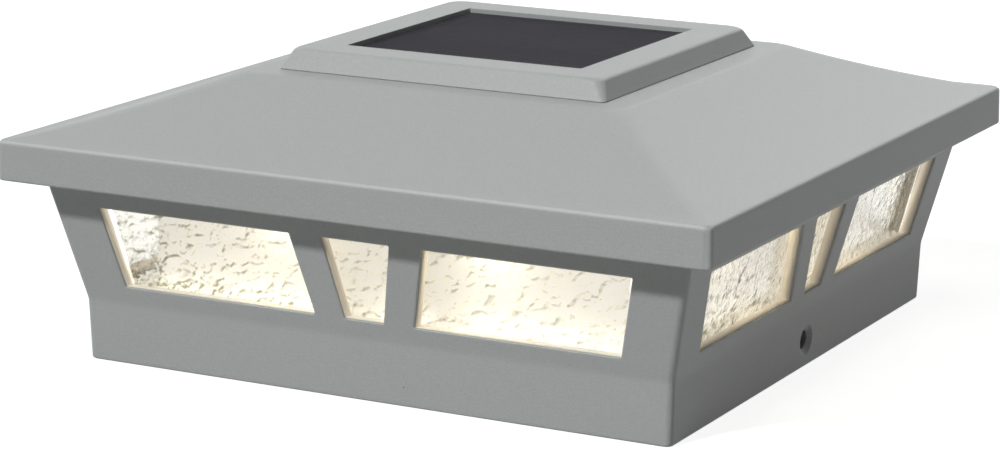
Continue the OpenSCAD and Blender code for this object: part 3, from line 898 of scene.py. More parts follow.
@dataclass
class WindowBody:
    """Cast body: sleeve, flared wall with three windows a side, stop ledge and screw bosses.

    A window is four places along its side: lower left, lower right, upper right and
    upper left. The wall is a grid of cells, three a side, with a window in each.
    """

    rim: float = 79.0
    bend: float = 79.5
    bend_z: float = 15.3
    slope: float = 7.0 / 31.1
    top_z: float = 48.9
    wall: float = 2.56
    socket: float = 76.8
    low: float = 19.9
    high: float = 40.2
    corner: float = 1.6
    corner_in: float = 1.0
    window_corner: float = 0.5
    edge: float = 0.35
    grid_low: float = 17.5
    grid_high: float = 44.5
    split_low: float = 9.35
    split_high: float = 13.55
    lead_in: float = 0.3
    soft: float = 0.05
    hole_z: float = 6.8
    hole_r: float = 2.3
    sink_r: float = 3.8
    sink_depth: float = 1.0
    hole_rows: tuple[float, float] = (1.2, 13.0)
    ledge_in: float = 68.0
    ledge_out: float = 77.3
    ledge_low: float = 15.5
    ledge_high: float = 17.5
    wide: int = 14
    narrow: int = 10
    tall: int = 10
    hole_tall: int = 8
    steps: int = 6
    boss_at: float = 59.0
    boss_top: float = 30.0
    windows: tuple = ((-67.0, -13.4, -17.9, -71.7), (-5.3, 5.3, 9.2, -9.2), (13.4, 67.0, 71.7, 17.9))

    def face(self, z: Array) -> Array:
        """Works out the outer face: two straight runs that meet at the bend.

        Args:
            z: heights.

        Returns:
            The half widths.
        """
        z = np.asarray(z, float)
        below = self.rim + (self.bend - self.rim) * z / self.bend_z
        above = self.bend + self.slope * (z - self.bend_z)
        return np.where(z < self.bend_z, below, above)

    def split(self, z: Array) -> Array:
        """Where the middle cell of a side ends at each height: halfway between two windows."""
        t = (np.clip(z, self.grid_low, self.grid_high) - self.low) / (self.high - self.low)
        return self.split_low + (self.split_high - self.split_low) * t

    def line(self, flat: Array, z: Array) -> Array:
        """Divides one side evenly within its two outer cells and its middle one.

        Args:
            flat: how far its straight part reaches, for each height.
            z: heights.

        Returns:
            heights x places along the side.
        """
        flat, split = flat[:, None], self.split(z)[:, None]
        outer, middle = np.linspace(0, 1, self.wide + 1)[None], np.linspace(-1, 1, self.narrow + 1)[None]
        left = -flat + (flat - split) * outer
        return np.concatenate([left[:, :-1], split * middle, -left[:, ::-1][:, 1:]], axis=1)

    def loops(self, half: Array, radius: Array, z: Array) -> Array:
        """Loops round the body at the given half widths, corner radii and heights."""
        radius = np.broadcast_to(np.asarray(radius, float), half.shape)
        return raised(square_loops(half, radius, self.line(half - radius, z), self.steps), z)

    def window(self, index: int) -> tuple[Array, tuple[int, ...]]:
        """Draws a window of the front side.

        Args:
            index: 0 to 2, from the left.

        Returns:
            Its corners, counter-clockwise from the lower left, and the segments of its edges.
        """
        across = self.narrow if index == 1 else self.wide
        corners = np.column_stack([self.windows[index], (self.low, self.low, self.high, self.high)])
        return corners, (across, self.tall, across, self.tall)

    def hole_heights(self) -> Array:
        """The rows beside the screw holes, without the first."""
        return np.linspace(*self.hole_rows, self.hole_tall + 1)[1:]

    def sleeve_rows(self) -> Array:
        """Draws the outside of the sleeve, from the rim to the window cells.

        Returns:
            n x 2, as (half width, z) rows.
        """
        start, round_z, bow = self.hole_rows[0], self.hole_rows[1] + 0.2, 9.0
        rim = [(self.rim - start, 0, 0), (self.rim, 0, 0.6), (float(self.face(start)), start, 0)]
        z = self.hole_heights()
        bend = [(float(self.face(h)), h, 0) for h in (round_z, self.grid_low)]
        bend.insert(1, (self.bend, self.bend_z, bow))
        wall = np.stack([self.face(z), z], axis=1)
        return np.concatenate([filleted(rim, 4, closed=False), wall, filleted(bend, 6, closed=False)[1:]])

    def lining_rows(self) -> Array:
        """Draws the inside of the sleeve, from the rim to the window cells.

        Returns:
            n x 2, as (half width, z) rows.
        """
        start, z = self.hole_rows[0], self.hole_heights()
        rim = [(self.rim - start, 0.0), (self.socket + self.lead_in, 0.0), (self.socket, self.lead_in)]
        upper = [(self.socket, self.ledge_low), (float(self.face(self.grid_low)) - self.wall, self.grid_low)]
        wall = np.stack([np.full(len(z), self.socket), z], axis=1)
        return np.concatenate([np.array([*rim, (self.socket, start)]), wall, np.array(upper)])

    def build(self) -> None:
        """Makes the body's piece from its sleeve, cells, corners, rim, ledge and bosses."""
        shell = Shell()
        rows = self.sleeve_rows()
        outside = self.loops(rows[:, 0], self.corner, rows[:, 1])
        shell.grid(outside, (False, True), self.hole_gap(rows[:, 1], outside.shape[1]))
        rows = self.lining_rows()
        rounds = np.where(np.arange(len(rows)) == 0, self.corner, self.corner_in)
        inside = self.loops(rows[:, 0], rounds, rows[:, 1])
        shell.grid(inside[::-1], (False, True), self.hole_gap(rows[:, 1], inside.shape[1])[::-1])
        self.rim_top(shell)
        for side in Side:
            for index in range(len(self.windows)):
                self.cell(shell, side, index)
            self.corner_strips(shell, side)
        for side in (Side.RIGHT, Side.LEFT):
            self.screw_hole(shell, side)
        self.ledge(shell)
        sharpen(piece(shell.mesh("body_casting"), "window_body", PAINT), 50)

    def hole_gap(self, z: Array, columns: int) -> Array:
        """Finds the quads that make way for the screw holes.

        Args:
            z: heights of the rows.
            columns: points of each row.

        Returns:
            rows x columns of quads, true where one is left out.
        """
        low, high = self.hole_rows
        rows = (z[:-1] > low - self.soft) & (z[1:] < high + self.soft)
        per_side = columns // len(Side)
        gap = np.zeros((len(z) - 1, columns), bool)
        for side in (Side.RIGHT, Side.LEFT):
            start = side.value * per_side + self.wide
            gap[:, start : start + self.narrow] = rows[:, None]
        return gap

    def rim_top(self, shell: Shell) -> None:
        """Adds the band over the windows: outer face, rounded top rim and inner face.

        Args:
            shell: what it is added to.
        """
        foot, top = float(self.face(self.grid_high)), float(self.face(self.top_z))
        outer = [(foot, self.grid_high, 0), (top, self.top_z, 0.4)]
        inner = [(half - self.wall, z, radius) for half, z, radius in outer[::-1]]
        rows = filleted(outer + inner, 3, closed=False)
        rounds = np.linspace(self.corner, self.corner_in, len(rows))
        shell.grid(self.loops(rows[:, 0], rounds, rows[:, 1]), (False, True))

    def cell_edges(self, index: int, inner: bool) -> list[Pair]:
        """Draws the edge of a window's cell.

        Args:
            index: 0 to 2, from the left.
            inner: on the inner face, not the outer one.

        Returns:
            Its corners, counter-clockwise from the lower left.
        """
        out = []
        for z in (self.grid_low, self.grid_high):
            half = float(self.face(z)) - (self.wall if inner else 0)
            flat = half - (self.corner_in if inner else self.corner)
            split = float(self.split(np.array(z)))
            out.append([(-flat, -split), (-split, split), (split, flat)][index])
        (l0, r0), (l1, r1) = out
        return [(l0, self.grid_low), (r0, self.grid_low), (r1, self.grid_high), (l1, self.grid_high)]

    def cell(self, shell: Shell, side: Side, index: int) -> None:
        """Adds one window with the wall around it.

        Its loops go from the cell's edge on the outside, over a quarter round into the
        window, through the wall and over a second quarter round, to that on the inside.

        Args:
            shell: what it is added to.
            side: its side.
            index: 0 to 2, from the left.
        """
        corners, counts = self.window(index)
        a = np.linspace(0, math.pi / 2, 4)
        flat, inner = 0.6, 0.3
        grow = [self.edge + flat, *(self.edge * (1 - np.sin(a))), 0.0, *(inner * (1 - np.cos(a)))]
        deep = [0.0, *(self.edge * (1 - np.cos(a)))]
        deep += [self.wall - 0.8, *(self.wall - inner + inner * np.sin(a))]
        loops = [self.on_face(straight_loop(np.array(self.cell_edges(index, False)), counts), 0.0)]
        for g, d in zip(grow, deep):
            outline = rounded_loop(offset(corners, g), self.window_corner + g, counts)
            loops.append(self.on_face(outline, d))
        loops.append(self.on_face(straight_loop(np.array(self.cell_edges(index, True)), counts), self.wall))
        shell.grid(side.turn(np.stack(loops)[::-1]), (False, True))

    def on_face(self, outline: Array, depth: float) -> Array:
        """Sets an outline of (u, z) points on the front face, a level depth behind it."""
        return np.stack([outline[:, 0], depth - self.face(outline[:, 1]), outline[:, 1]], axis=-1)

    def corner_strips(self, shell: Shell, side: Side) -> None:
        """Adds the upright corner between a side and the next, outside and inside.

        Args:
            shell: what it is added to.
            side: the side before the corner.
        """
        z = np.linspace(self.grid_low, self.grid_high, self.tall + 1)
        for inner, radius in ((False, self.corner), (True, self.corner_in)):
            flat = self.face(z) - (self.wall if inner else 0) - radius
            a = np.linspace(-math.pi / 2, 0, self.steps + 1)
            x = flat[:, None] + radius * np.cos(a)
            y = -flat[:, None] + radius * np.sin(a)
            strip = np.stack([x, y, np.broadcast_to(z[:, None], x.shape)], axis=-1)
            shell.grid(side.turn(strip[::-1] if inner else strip))

    def screw_hole(self, shell: Shell, side: Side) -> None:
        """Adds the countersunk post screw hole and the wall around it.

        Args:
            shell: what it is added to.
            side: its side.
        """
        counts = (self.narrow, self.hole_tall, self.narrow, self.hole_tall)
        low, high = self.hole_rows
        split = float(self.split(np.array(0.0)))
        edge = straight_loop(np.array([(-split, low), (split, low), (split, high), (-split, high)]), counts)
        loops = [self.on_face(edge, 0.0)]
        for radius, depth in (
            (self.sink_r + 0.5, 0.0), (self.sink_r + 0.15, 0.0), (self.sink_r, self.soft),
            (self.hole_r + 0.1, self.sink_depth - self.soft), (self.hole_r, self.sink_depth + self.soft),
        ):
            loops.append(self.on_face(circle_loop(0.0, self.hole_z, radius, counts), depth))
        within = [(circle_loop(0.0, self.hole_z, self.hole_r, counts), self.socket + 0.2)]
        within += [(circle_loop(0.0, self.hole_z, self.hole_r + 0.2, counts), self.socket), (edge, self.socket)]
        for ring, half in within:
            loops.append(np.stack([ring[:, 0], np.full(len(ring), -half), ring[:, 1]], axis=-1))
        shell.grid(side.turn(np.stack(loops)[::-1]), (False, True))

    def ledge(self, shell: Shell) -> None:
        """Adds the post stop: a ring round the inside, and a gusset with a screw boss in each corner.

        Args:
            shell: what it is added to.
        """
        low, high, top = self.ledge_low, self.ledge_high, self.boss_top
        bottom_z, top_z = low + self.soft, high - self.soft
        ring = [(self.ledge_in, bottom_z, 0.3), (self.ledge_out, bottom_z, 0)]
        ring += [(self.ledge_out, top_z, 0), (self.ledge_in, top_z, 0.3)]
        shell.island(square_sweep(filleted(ring, 3), 0.6, across=8, steps=3))
        counts = (8, 8, 8, 8)
        near, far = 53.5, 77.2
        square = straight_loop(np.array([(near, near), (far, near), (far, far), (near, far)]), counts)
        # From the gusset's top up the boss, down its bore and out through the gusset's underside.
        rings = [(5.6, high), (5.25, high + 0.15), (5.1, high + 0.5), (5.1, top - 0.4), (4.7, top), (2.6, top)]
        rings += [(2.25, top - 0.3), (2.25, 19.5), (3.9, 19.5), (3.9, low + 0.3), (4.2, low)]
        loops = [np.column_stack([square, np.full(len(square), high)])]
        for radius, z in rings:
            circle = circle_loop(self.boss_at, self.boss_at, radius, counts)
            loops.append(np.column_stack([circle, np.full(len(circle), z)]))
        loops.append(np.column_stack([square, np.full(len(square), low)]))
        for side in Side:
            shell.island(side.turn(np.stack(loops)))


def straight_loop(corners: Array, counts: tuple[int, ...]) -> Array:
    """Spaces points evenly on each edge of a polygon.

    Args:
        corners: its four corners.
        counts: segments of each edge.

    Returns:
        The points, sum of counts x 2.
    """
    ahead = np.roll(corners, -1, axis=0)
    out = [corners[k] + (ahead[k] - corners[k]) * (np.arange(n) / n)[:, None] for k, n in enumerate(counts)]
    return np.concatenate(out)


def circle_loop(x: float, y: float, radius: float, counts: tuple[int, ...]) -> Array:
    """Points round a circle, a quarter of it for each edge of the square that it is joined to."""
    a = np.concatenate([-math.pi * 3 / 4 + math.pi / 2 * (k + np.arange(n) / n) for k, n in enumerate(counts)])
    return np.stack([x + radius * np.cos(a), y + radius * np.sin(a)], axis=-1)


def offset(corners: Array, distance: float) -> Array:
    """Moves every edge of a convex polygon outwards.

    Args:
        corners: its corners, counter-clockwise.
        distance: how far the edges move.

    Returns:
        The new corners.
    """
    edge = np.roll(corners, -1, axis=0) - corners
    edge /= np.linalg.norm(edge, axis=1)[:, None]
    normal = np.stack([edge[:, 1], -edge[:, 0]], axis=1)
    before = np.roll(normal, 1, axis=0)
    return corners + distance * (before + normal) / (1 + (before * normal).sum(1))[:, None]


def rounded_loop(corners: Array, radius: float, counts: tuple[int, ...], half_arc: int = 2) -> Array:
    """Spaces points round a quadrilateral with round corners.

    Each edge runs from the middle of one corner's arc to the middle of the next.

    Args:
        corners: the four corners, counter-clockwise.
        radius: radius of every corner.
        counts: segments of each edge.
        half_arc: segments of half a corner.

    Returns:
        The points, sum of counts x 2.
    """
    arcs = [corner_arc(corners[k - 1], corners[k], corners[(k + 1) % 4], radius, 2 * half_arc) for k in range(4)]
    out = []
    for k, n in enumerate(counts):
        leave, arrive = arcs[k][half_arc:], arcs[(k + 1) % 4][: half_arc + 1]
        inner = n - 2 * half_arc
        t = (np.arange(1, inner) / inner)[:, None]
        out += [leave, leave[-1] + (arrive[0] - leave[-1]) * t, arrive[:-1]]
    return np.concatenate(out)


# ---------------------------------------------------------------- glass and light


@dataclass
class Panes:
    """Hammered glass panes, one behind the three windows of each side.

    The bowls of the relief are set out over field_u and field_z, past the pane's edges,
    in rows row_step of their distance apart, and are narrower upright than across.
    """

    front: float = 3.16
    thick: float = 3.05
    low: float = 17.5
    high: float = 43.3
    half: float = 73.2
    pitch: float = 0.28
    relief: float = 0.115
    follow: float = 0.7
    border_low: float = 66.9
    border_high: float = 70.4
    stripe: float = 0.55
    gap: float = 0.02
    jitter: float = 0.48
    row_step: float = 0.72
    upright: float = 1.7
    reach: float = 2.6
    field_u: Pair = (-78, 79)
    field_z: Pair = (14, 47)
    band_height: float = 22.7
    first_seed: int = 11
    body: WindowBody = field(default_factory=WindowBody)

    def border(self, z: Array) -> Array:
        """Works out where the smooth border begins: it leans with the windows' outer edges.

        Args:
            z: heights.

        Returns:
            Distances from the side's middle.
        """
        low, high = self.body.low, self.body.high
        return self.border_low + (self.border_high - self.border_low) * (z - low) / (high - low)

    def bowls(self, u: Array, z: Array, size: float, soft: float, rng: np.random.Generator) -> Array:
        """Height of a field of shallow bowls that meet in ridges, from 0 in a bowl to 1 on the highest ridge.

        Each bowl is a paraboloid, its own steepness x distance squared, round a point of
        a jittered grid. The least height wins, with its edges softened by a logarithm of
        summed exponentials. The place is first bent by sine waves, so that the bowls come
        out as the crooked hollows of pressed glass.

        Args:
            u: places along the pane, rows x columns.
            z: heights, rows x columns.
            size: mean distance of the bowls.
            soft: how far the ridges are softened, as a share of their height.
            rng: seeded random numbers.

        Returns:
            Heights from 0 to 1.
        """
        bent = [u.copy(), z.copy()]
        for length, share in ((2.6, 0.26), (1.3, 0.13)):
            for axis in (0, 1):
                for _ in range(3):
                    turn, phase = rng.uniform(0, 2 * math.pi, 2)
                    along = math.cos(turn) * u + math.sin(turn) * z
                    wave = 2 * math.pi * along / (length * size * rng.uniform(0.8, 1.3))
                    bent[axis] += share * size / 3**0.5 * np.sin(wave + phase)
        columns, rows = np.arange(*self.field_u, size), np.arange(*self.field_z, size * self.row_step)
        gx, gz = np.meshgrid(columns, rows, indexing="ij")
        gx = gx + rng.uniform(-self.jitter, self.jitter, gx.shape) * size
        gz = gz + rng.uniform(-self.jitter, self.jitter, gx.shape) * size * self.row_step
        steep = rng.uniform(0.6, 1.7, gx.shape)
        floor = rng.uniform(0.0, 0.1, gx.shape)
        total = np.zeros(u.shape)
        rows_z, cols_u, reach = z[:, 0], u[0], self.reach * size
        for x, y, k, low in zip(gx.ravel(), gz.ravel(), steep.ravel(), floor.ravel()):
            a, b = np.searchsorted(rows_z, (y - reach, y + reach))
            c, d = np.searchsorted(cols_u, (x - reach, x + reach))
            across, up = bent[0][a:b, c:d] - x, bent[1][a:b, c:d] - y
            part = (across**2 + self.upright * up**2) / size**2
            total[a:b, c:d] += np.exp(-(part * k + low) / soft)
        height = -soft * np.log(total + 1e-12)
        low, high = np.quantile(height, (0.002, 0.998))
        return np.clip((height - low) / (high - low), 0, 1)

    def hammer(self, u: Array, z: Array, seed: int) -> tuple[Array, Array]:
        """The relief and how strongly its creases show.

        Large bowls carry small ones in their hollows. The slopes that lean up and to the
        left get soft arcs of painted shade, and the ridges, where the second differences are
        large, faint lines of painted shade. Sine waves break both into short strokes, and the
        roll has pressed one end of the pane deeper. A wavy band of painted shade, 3 mm over
        the sill, gathers them where the glass is seen against the edge of the channel's foot.

        Args:
            u: places along the pane, rows x columns.
            z: heights, rows x columns.
            seed: seed of this pane's pattern.

        Returns:
            Depth of the relief in millimetres, and the strength of the painted crease shade from 0 to 1.
        """
        rng = np.random.default_rng(seed)
        large, small = self.bowls(u, z, 3.0, 0.05, rng), self.bowls(u, z, 1.35, 0.06, rng)
        masks = []
        for lengths in ((6.5, 3.6, 2.3), (9.0, 4.5, 2.0)):
            wave = np.zeros(u.shape)
            for length in lengths:
                turn, phase = rng.uniform(0, 2 * math.pi, 2)
                wave += np.sin(2 * math.pi * (math.cos(turn) * u + math.sin(turn) * z) / length + phase)
            masks.append(np.clip(0.42 + 0.55 * wave, 0, 1))
        band_z = self.band_height + 0.4 * np.sin(u / 2.9 + seed) + 0.3 * np.sin(u / 1.3 + 2 * seed)
        band = np.exp(-(((z - band_z) / 0.55) ** 2)) * (0.35 + 0.65 * masks[1])
        foot = np.clip((band_z - z) / 0.8, 0, 1)
        lines, arcs = [], []
        for height in (large, small):
            up, across = np.gradient(height, axis=0), np.gradient(height, axis=1)
            ridge = -np.gradient(up, axis=0) - np.gradient(across, axis=1)
            lines.append(np.clip(ridge / np.quantile(ridge, 0.985), 0, 1))
            lean = 0.85 * up - 0.5 * across
            arcs.append(np.clip(lean / np.quantile(lean, 0.95) - 0.1, 0, 1))
        deep = 0.75 + 0.45 * np.clip(-u / 55, 0, 1)
        rough = np.clip(0.15 + 0.5 * masks[1] + 0.6 * foot + 0.9 * band, 0, 1) * deep
        crease = (0.85 * arcs[0] + 0.25 * lines[0]) * (0.4 + 0.6 * masks[0])
        crease = crease + (0.65 * arcs[1] + 0.35 * lines[1]) * rough
        depth = deep * self.relief * (1 - 0.75 * large - 0.25 * small)
        return depth, np.clip(deep * crease + deep**2 * (0.35 * band + 0.1 * foot), 0, 1)

    def mark(self, mesh: bpy.types.Mesh, side: Side, face: Array, crease: Array) -> None:
        """Writes the painted crease shade and the painted glowing border line of the front face's points to the
        mesh.

        A mesh point takes the values of the nearest point of the face's grid, and 0
        where it lies behind the face. The border line is the narrow step round the
        hammered field, at its two ends.

        Args:
            mesh: the pane's mesh, in metres.
            side: the side that it stands on.
            face: rows x columns x 3 points of the front face before its turn, in millimetres.
            crease: rows x columns of values.
        """
        rows, cols = crease.shape
        points = side.turn_back(mesh_points(mesh))
        z = face[:, 0, 2]
        row = np.clip(np.rint((points[:, 2] - z[0]) / (z[1] - z[0])), 0, rows - 1).astype(int)
        col = np.clip(np.rint((points[:, 0] / self.half + 1) / 2 * (cols - 1)), 0, cols - 1).astype(int)
        ahead = np.abs(points[:, 1] - face[row, col, 1]) < self.body.soft
        across = np.abs(np.abs(points[:, 0]) - self.border(points[:, 2]))
        band = np.clip(1.2 - across / self.stripe, 0, 1)
        # Both values are painted light: shade in the creases and a glow along the border line.
        for name, value in (("crease", crease[row, col]), ("ground_edge", band * 0.85)):
            write_values(mesh, name, np.where(ahead, value, 0))

    def build(self) -> None:
        """Makes the four panes, each a front and a back face joined by four strips."""
        rows = int((self.high - self.low) / self.pitch)
        cols = int(2 * self.half / self.pitch)
        u, z = np.meshgrid(np.linspace(-self.half, self.half, cols), np.linspace(self.low, self.high, rows))
        field_end = np.clip((self.border(z) - np.abs(u)) / 0.8, 0, 1)
        fade = np.clip(np.minimum(z - self.low, self.high - z) / 1.0, 0, 1) * field_end
        for side in Side:
            relief, crease = self.hammer(u, z, self.first_seed + side.value)
            relief, crease = relief * fade, crease * field_end
            ahead = self.front + self.gap + relief
            behind = self.front + self.thick - self.relief * self.follow + relief * self.follow
            face, back = (np.stack([u, depth - self.body.face(z), z], axis=-1) for depth in (ahead, behind))
            shell = Shell()
            shell.grid(side.turn(face))
            shell.grid(side.turn(back[:, ::-1]))
            for start, end in (
                (back[0], face[0]), (face[-1], back[-1]), (face[:, 0], back[:, 0]), (back[:, -1], face[:, -1])
            ):
                shell.grid(side.turn(np.stack([start, end])))
            mesh = shell.mesh(f"hammered_pane_{side.label}")
            self.mark(mesh, side, face, crease)
            made = piece(mesh, f"pane_{side.label}", GLASS)
            made.data.set_sharp_from_angle(angle=math.radians(50))


@dataclass
class LightWorks:
    """The white channel behind the panes, its lamp boards and its lamps."""

    back: float = 65.0
    rail: float = 73.4
    wall: float = 66.5
    groove: float = 67.6
    groove_z: float = 18.1
    foot_z: float = 17.5
    rail_z: float = 19.0
    cap: float = 83.0
    cap_z: float = 43.6
    top_z: float = 45.1
    lamp_u: float = 28.0
    lamp_row: float = 72.5
    lamp_z: float = 42.15
    lamp_size: float = 3.0
    power: float = 0.0011
    glow: str = "#fff7ea"

    def shine(self) -> None:
        """Puts a small warm lamp under each lamp package."""
        for side in Side:
            for u in (-self.lamp_u, self.lamp_u):
                data = bpy.data.lights.new(f"lamp_glow_{side.label}", "AREA")
                data.size, data.energy, data.color = self.lamp_size * MM, self.power, linear(self.glow)[:3]
                made = placed(data.name, data)
                made.location = side.turn(np.array([u, -self.lamp_row, self.lamp_z])) * MM

    def build(self) -> None:
        """Makes the channel, whose foot has a narrow groove, and dresses the boards and lamps."""
        foot = [
            (self.back, self.foot_z, 0.3), (self.rail, self.foot_z, 0.3), (self.rail, self.rail_z, 0.3),
            (self.groove, self.rail_z, 0.15), (self.groove, self.groove_z, 0.1), (self.wall, self.groove_z, 0.1),
        ]
        cap = [
            (self.wall, self.cap_z, 0.8), (self.cap, self.cap_z, 0.3), (self.cap, self.top_z, 0.3),
            (self.back, self.top_z, 0.3),
        ]
        shell = Shell()
        shell.island(square_sweep(filleted(foot + cap, 4), 1.0, across=12, steps=4))
        sharpen(piece(shell.mesh("light_channel_moulding"), "light_channel", CHANNEL))
        self.shine()
        for side in Side:
            dress_nodes({LAMP_BOARD: (f"lamp_board_{side.label}",), LAMP: (f"lamps_{side.label}",)})


@dataclass
class PaneSeals:
    """Silicone seals between the panes and the wall, with a thin lip that lines each window's cut edge; its pale
    colour and painted glow stand in for the lamp light on that edge.
    """

    lip: float = 0.22
    lip_front: float = 0.6
    frame: float = 1.9
    gap: float = 0.02
    sheet: float = 0.58
    body: WindowBody = field(default_factory=WindowBody)

    def build(self) -> None:
        """Makes the four seals, each three lined windows, and writes how near the pane each point lies, as the
        share of the painted glow.
        """
        wall = self.body.wall
        back = wall + self.sheet
        section = (
            (-self.gap, self.lip_front), (-self.lip, self.lip_front), (-self.lip, back), (self.frame, back),
            (self.frame, wall + self.gap), (-self.gap, wall + self.gap),
        )
        for side in Side:
            shell = Shell()
            for index in range(len(self.body.windows)):
                corners, counts = self.body.window(index)
                loops = []
                for grow, depth in section:
                    radius = self.body.window_corner + grow
                    loops.append(self.body.on_face(rounded_loop(offset(corners, grow), radius, counts), depth))
                shell.island(side.turn(np.stack(loops)))
            mesh = shell.mesh(f"lined_seal_{side.label}")
            points = mesh_points(mesh)
            depth = self.body.face(points[:, 2]) - np.abs(points[:, :2]).max(-1)
            # Painted glow share: points deeper behind the outer face, nearer the pane, glow more.
            write_values(mesh, "near_pane", np.clip(depth / wall - 0.25, 0.08, 1))
            piece(mesh, f"pane_seal_{side.label}", SEAL_WHITE)


# ---------------------------------------------------------------- solar top


@dataclass
class SolarTop:
    """Frame, gasket and panel on the roof's collar."""

    foot: float = 44.8
    top: float = 42.5
    step: float = 0.45
    foot_z: float = 70.6
    lip_z: float = 70.46
    top_z: float = 75.6
    pocket: float = 32.4
    pocket_z: float = 71.5
    opening: float = 4.0
    floor_z: float = 69.5
    plug_in: float = 35.1
    plug_out: float = 37.5
    plug_z: float = 64.8
    boss_at: float = 32.0
    boss_r: float = 3.4
    bore_r: float = 1.55
    boss_z: float = 62.8
    boss_top: float = 70.0
    panel: float = 32.1
    panel_z: float = 74.5
    panel_thick: float = 1.1

    def frame(self) -> None:
        """Makes the frame, with its plug through the roof and its four bosses."""
        profile = filleted(
            [
                (self.foot - self.step, self.foot_z, 0), (self.foot - self.step, self.lip_z, 0),
                (self.foot, self.lip_z, 0.15), (self.top, self.top_z, 1.4), (self.pocket, self.top_z, 0.15),
                (self.pocket, self.pocket_z, 0.2), (self.opening, self.pocket_z, 0),
                (self.opening, self.floor_z, 0), (self.plug_in, self.floor_z, 0.5),
                (self.plug_in, self.plug_z, 0.3), (self.plug_out, self.plug_z, 0.3),
                (self.plug_out, self.foot_z, 0.2),
            ],
            5,
        )
        # The corners grow rounder upwards outside, and are tight in the pocket and on the plug.
        half, heights = profile[:, 0], [self.lip_z, self.top_z - 0.8, self.top_z]
        radius = np.where(half < 40, 1.0, np.interp(profile[:, 1], heights, [1.3, 2.8, 4.0]))
        radius = np.where(half < self.pocket + 0.3, 0.5, radius)
        shell = Shell()
        shell.island(square_sweep(profile, radius, across=10, steps=6))
        foot = [(self.bore_r, self.boss_z, 0.2), (self.boss_r, self.boss_z, 0.3)]
        tube = filleted([*foot, (self.boss_r, self.boss_top, 0), (self.bore_r, self.boss_top, 0)], 3)
        for x, y in CORNERS:
            shell.island(lathe(tube, (x * self.boss_at, y * self.boss_at)))
        sharpen(piece(shell.mesh("solar_frame_casting"), "solar_frame", PAINT), 50)

    def build(self) -> None:
        """Makes the frame and the panel's cover, and dresses what lies below them."""
        self.frame()
        low = self.panel_z - self.panel_thick
        sheet = [(0.0, low, 0), (self.panel, low, 0.15), (self.panel, self.panel_z, 0.3), (0.0, self.panel_z, 0)]
        shell = Shell()
        shell.island(square_sweep(filleted(sheet, 3), 0.5, across=4, steps=4))
        sharpen(piece(shell.mesh("panel_cover_sheet"), "panel_glass", COVER_FILM))
        dress_nodes({
            CELLS: ("solar_cells",), ADHESIVE: ("panel_adhesive", "panel_backing"), SEAL_BLACK: ("frame_gasket",)
        })


# ---------------------------------------------------------------- lamp module


@dataclass
class LampModule:
    """Housing, cover, door, cell and electronics under the roof."""

    def build(self) -> None:
        """Makes the moulded pieces, the cell and the screws, and dresses what they hold."""
        for node, finish, slot, width, body in (
            ("lamp_housing", WHITE_ABS, "white_plastic", 0.4, "cap"),
            ("housing_cover", WHITE_ABS, "white_plastic", 0.3, "cap"),
            ("battery_door", WHITE_ABS, "white_plastic", 0.25, "battery_door"),
            ("battery_holder", BLACK_ABS, "black_plastic", 0.2, "cap"),
            ("switch_case", BLACK_ABS, "black_plastic", 0.15, "cap"),
            ("switch_slider", BLACK_ABS, "black_plastic", 0.12, "switch_slider"),
            ("battery", SLEEVE, "cell_sleeve", 0.5, "cap"),
        ):
            softened(node, finish, width, body)
        dress_nodes({
            NICKEL: ("battery_spring", "contact_minus", "contact_plus"),
            BOARD: ("control_board",),
            BLACK_ABS: ("driver_chip",),
            FERRITE: ("board_inductor",),
            CAN: ("board_capacitor",),
            LEAD: ("lamp_leads", "solar_leads", "battery_leads", "switch_leads"),
            SEAL_BLACK: ("roof_seal", "housing_gasket", "cover_seal"),
        })
        for node in ("body_screws", "frame_screws", "cover_screws", "board_screws"):
            softened(node, ZINC, 0.12, "cap")


# ---------------------------------------------------------------- studio


def direction(azimuth: float, elevation: float) -> Vector:
    """The unit vector at degrees of azimuth, from the front towards +X, and of elevation."""
    az, el = math.radians(azimuth), math.radians(elevation)
    return Vector((math.sin(az) * math.cos(el), -math.cos(az) * math.cos(el), math.sin(el)))


@dataclass(frozen=True)
class Sun:
    """A distant lamp: its name, azimuth and elevation, strength, and how wide it looks in degrees."""

    name: str
    azimuth: float
    elevation: float
    strength: float
    width: float

    def build(self) -> None:
        """Hangs the lamp, facing the cap."""
        data = bpy.data.lights.new(self.name, "SUN")
        data.energy, data.angle = self.strength, math.radians(self.width)
        to_lamp = direction(self.azimuth, self.elevation)
        made = placed(self.name, data)
        made.rotation_mode = "QUATERNION"
        made.rotation_quaternion = to_lamp.to_track_quat("Z", "Y")
        made.location = to_lamp * 2


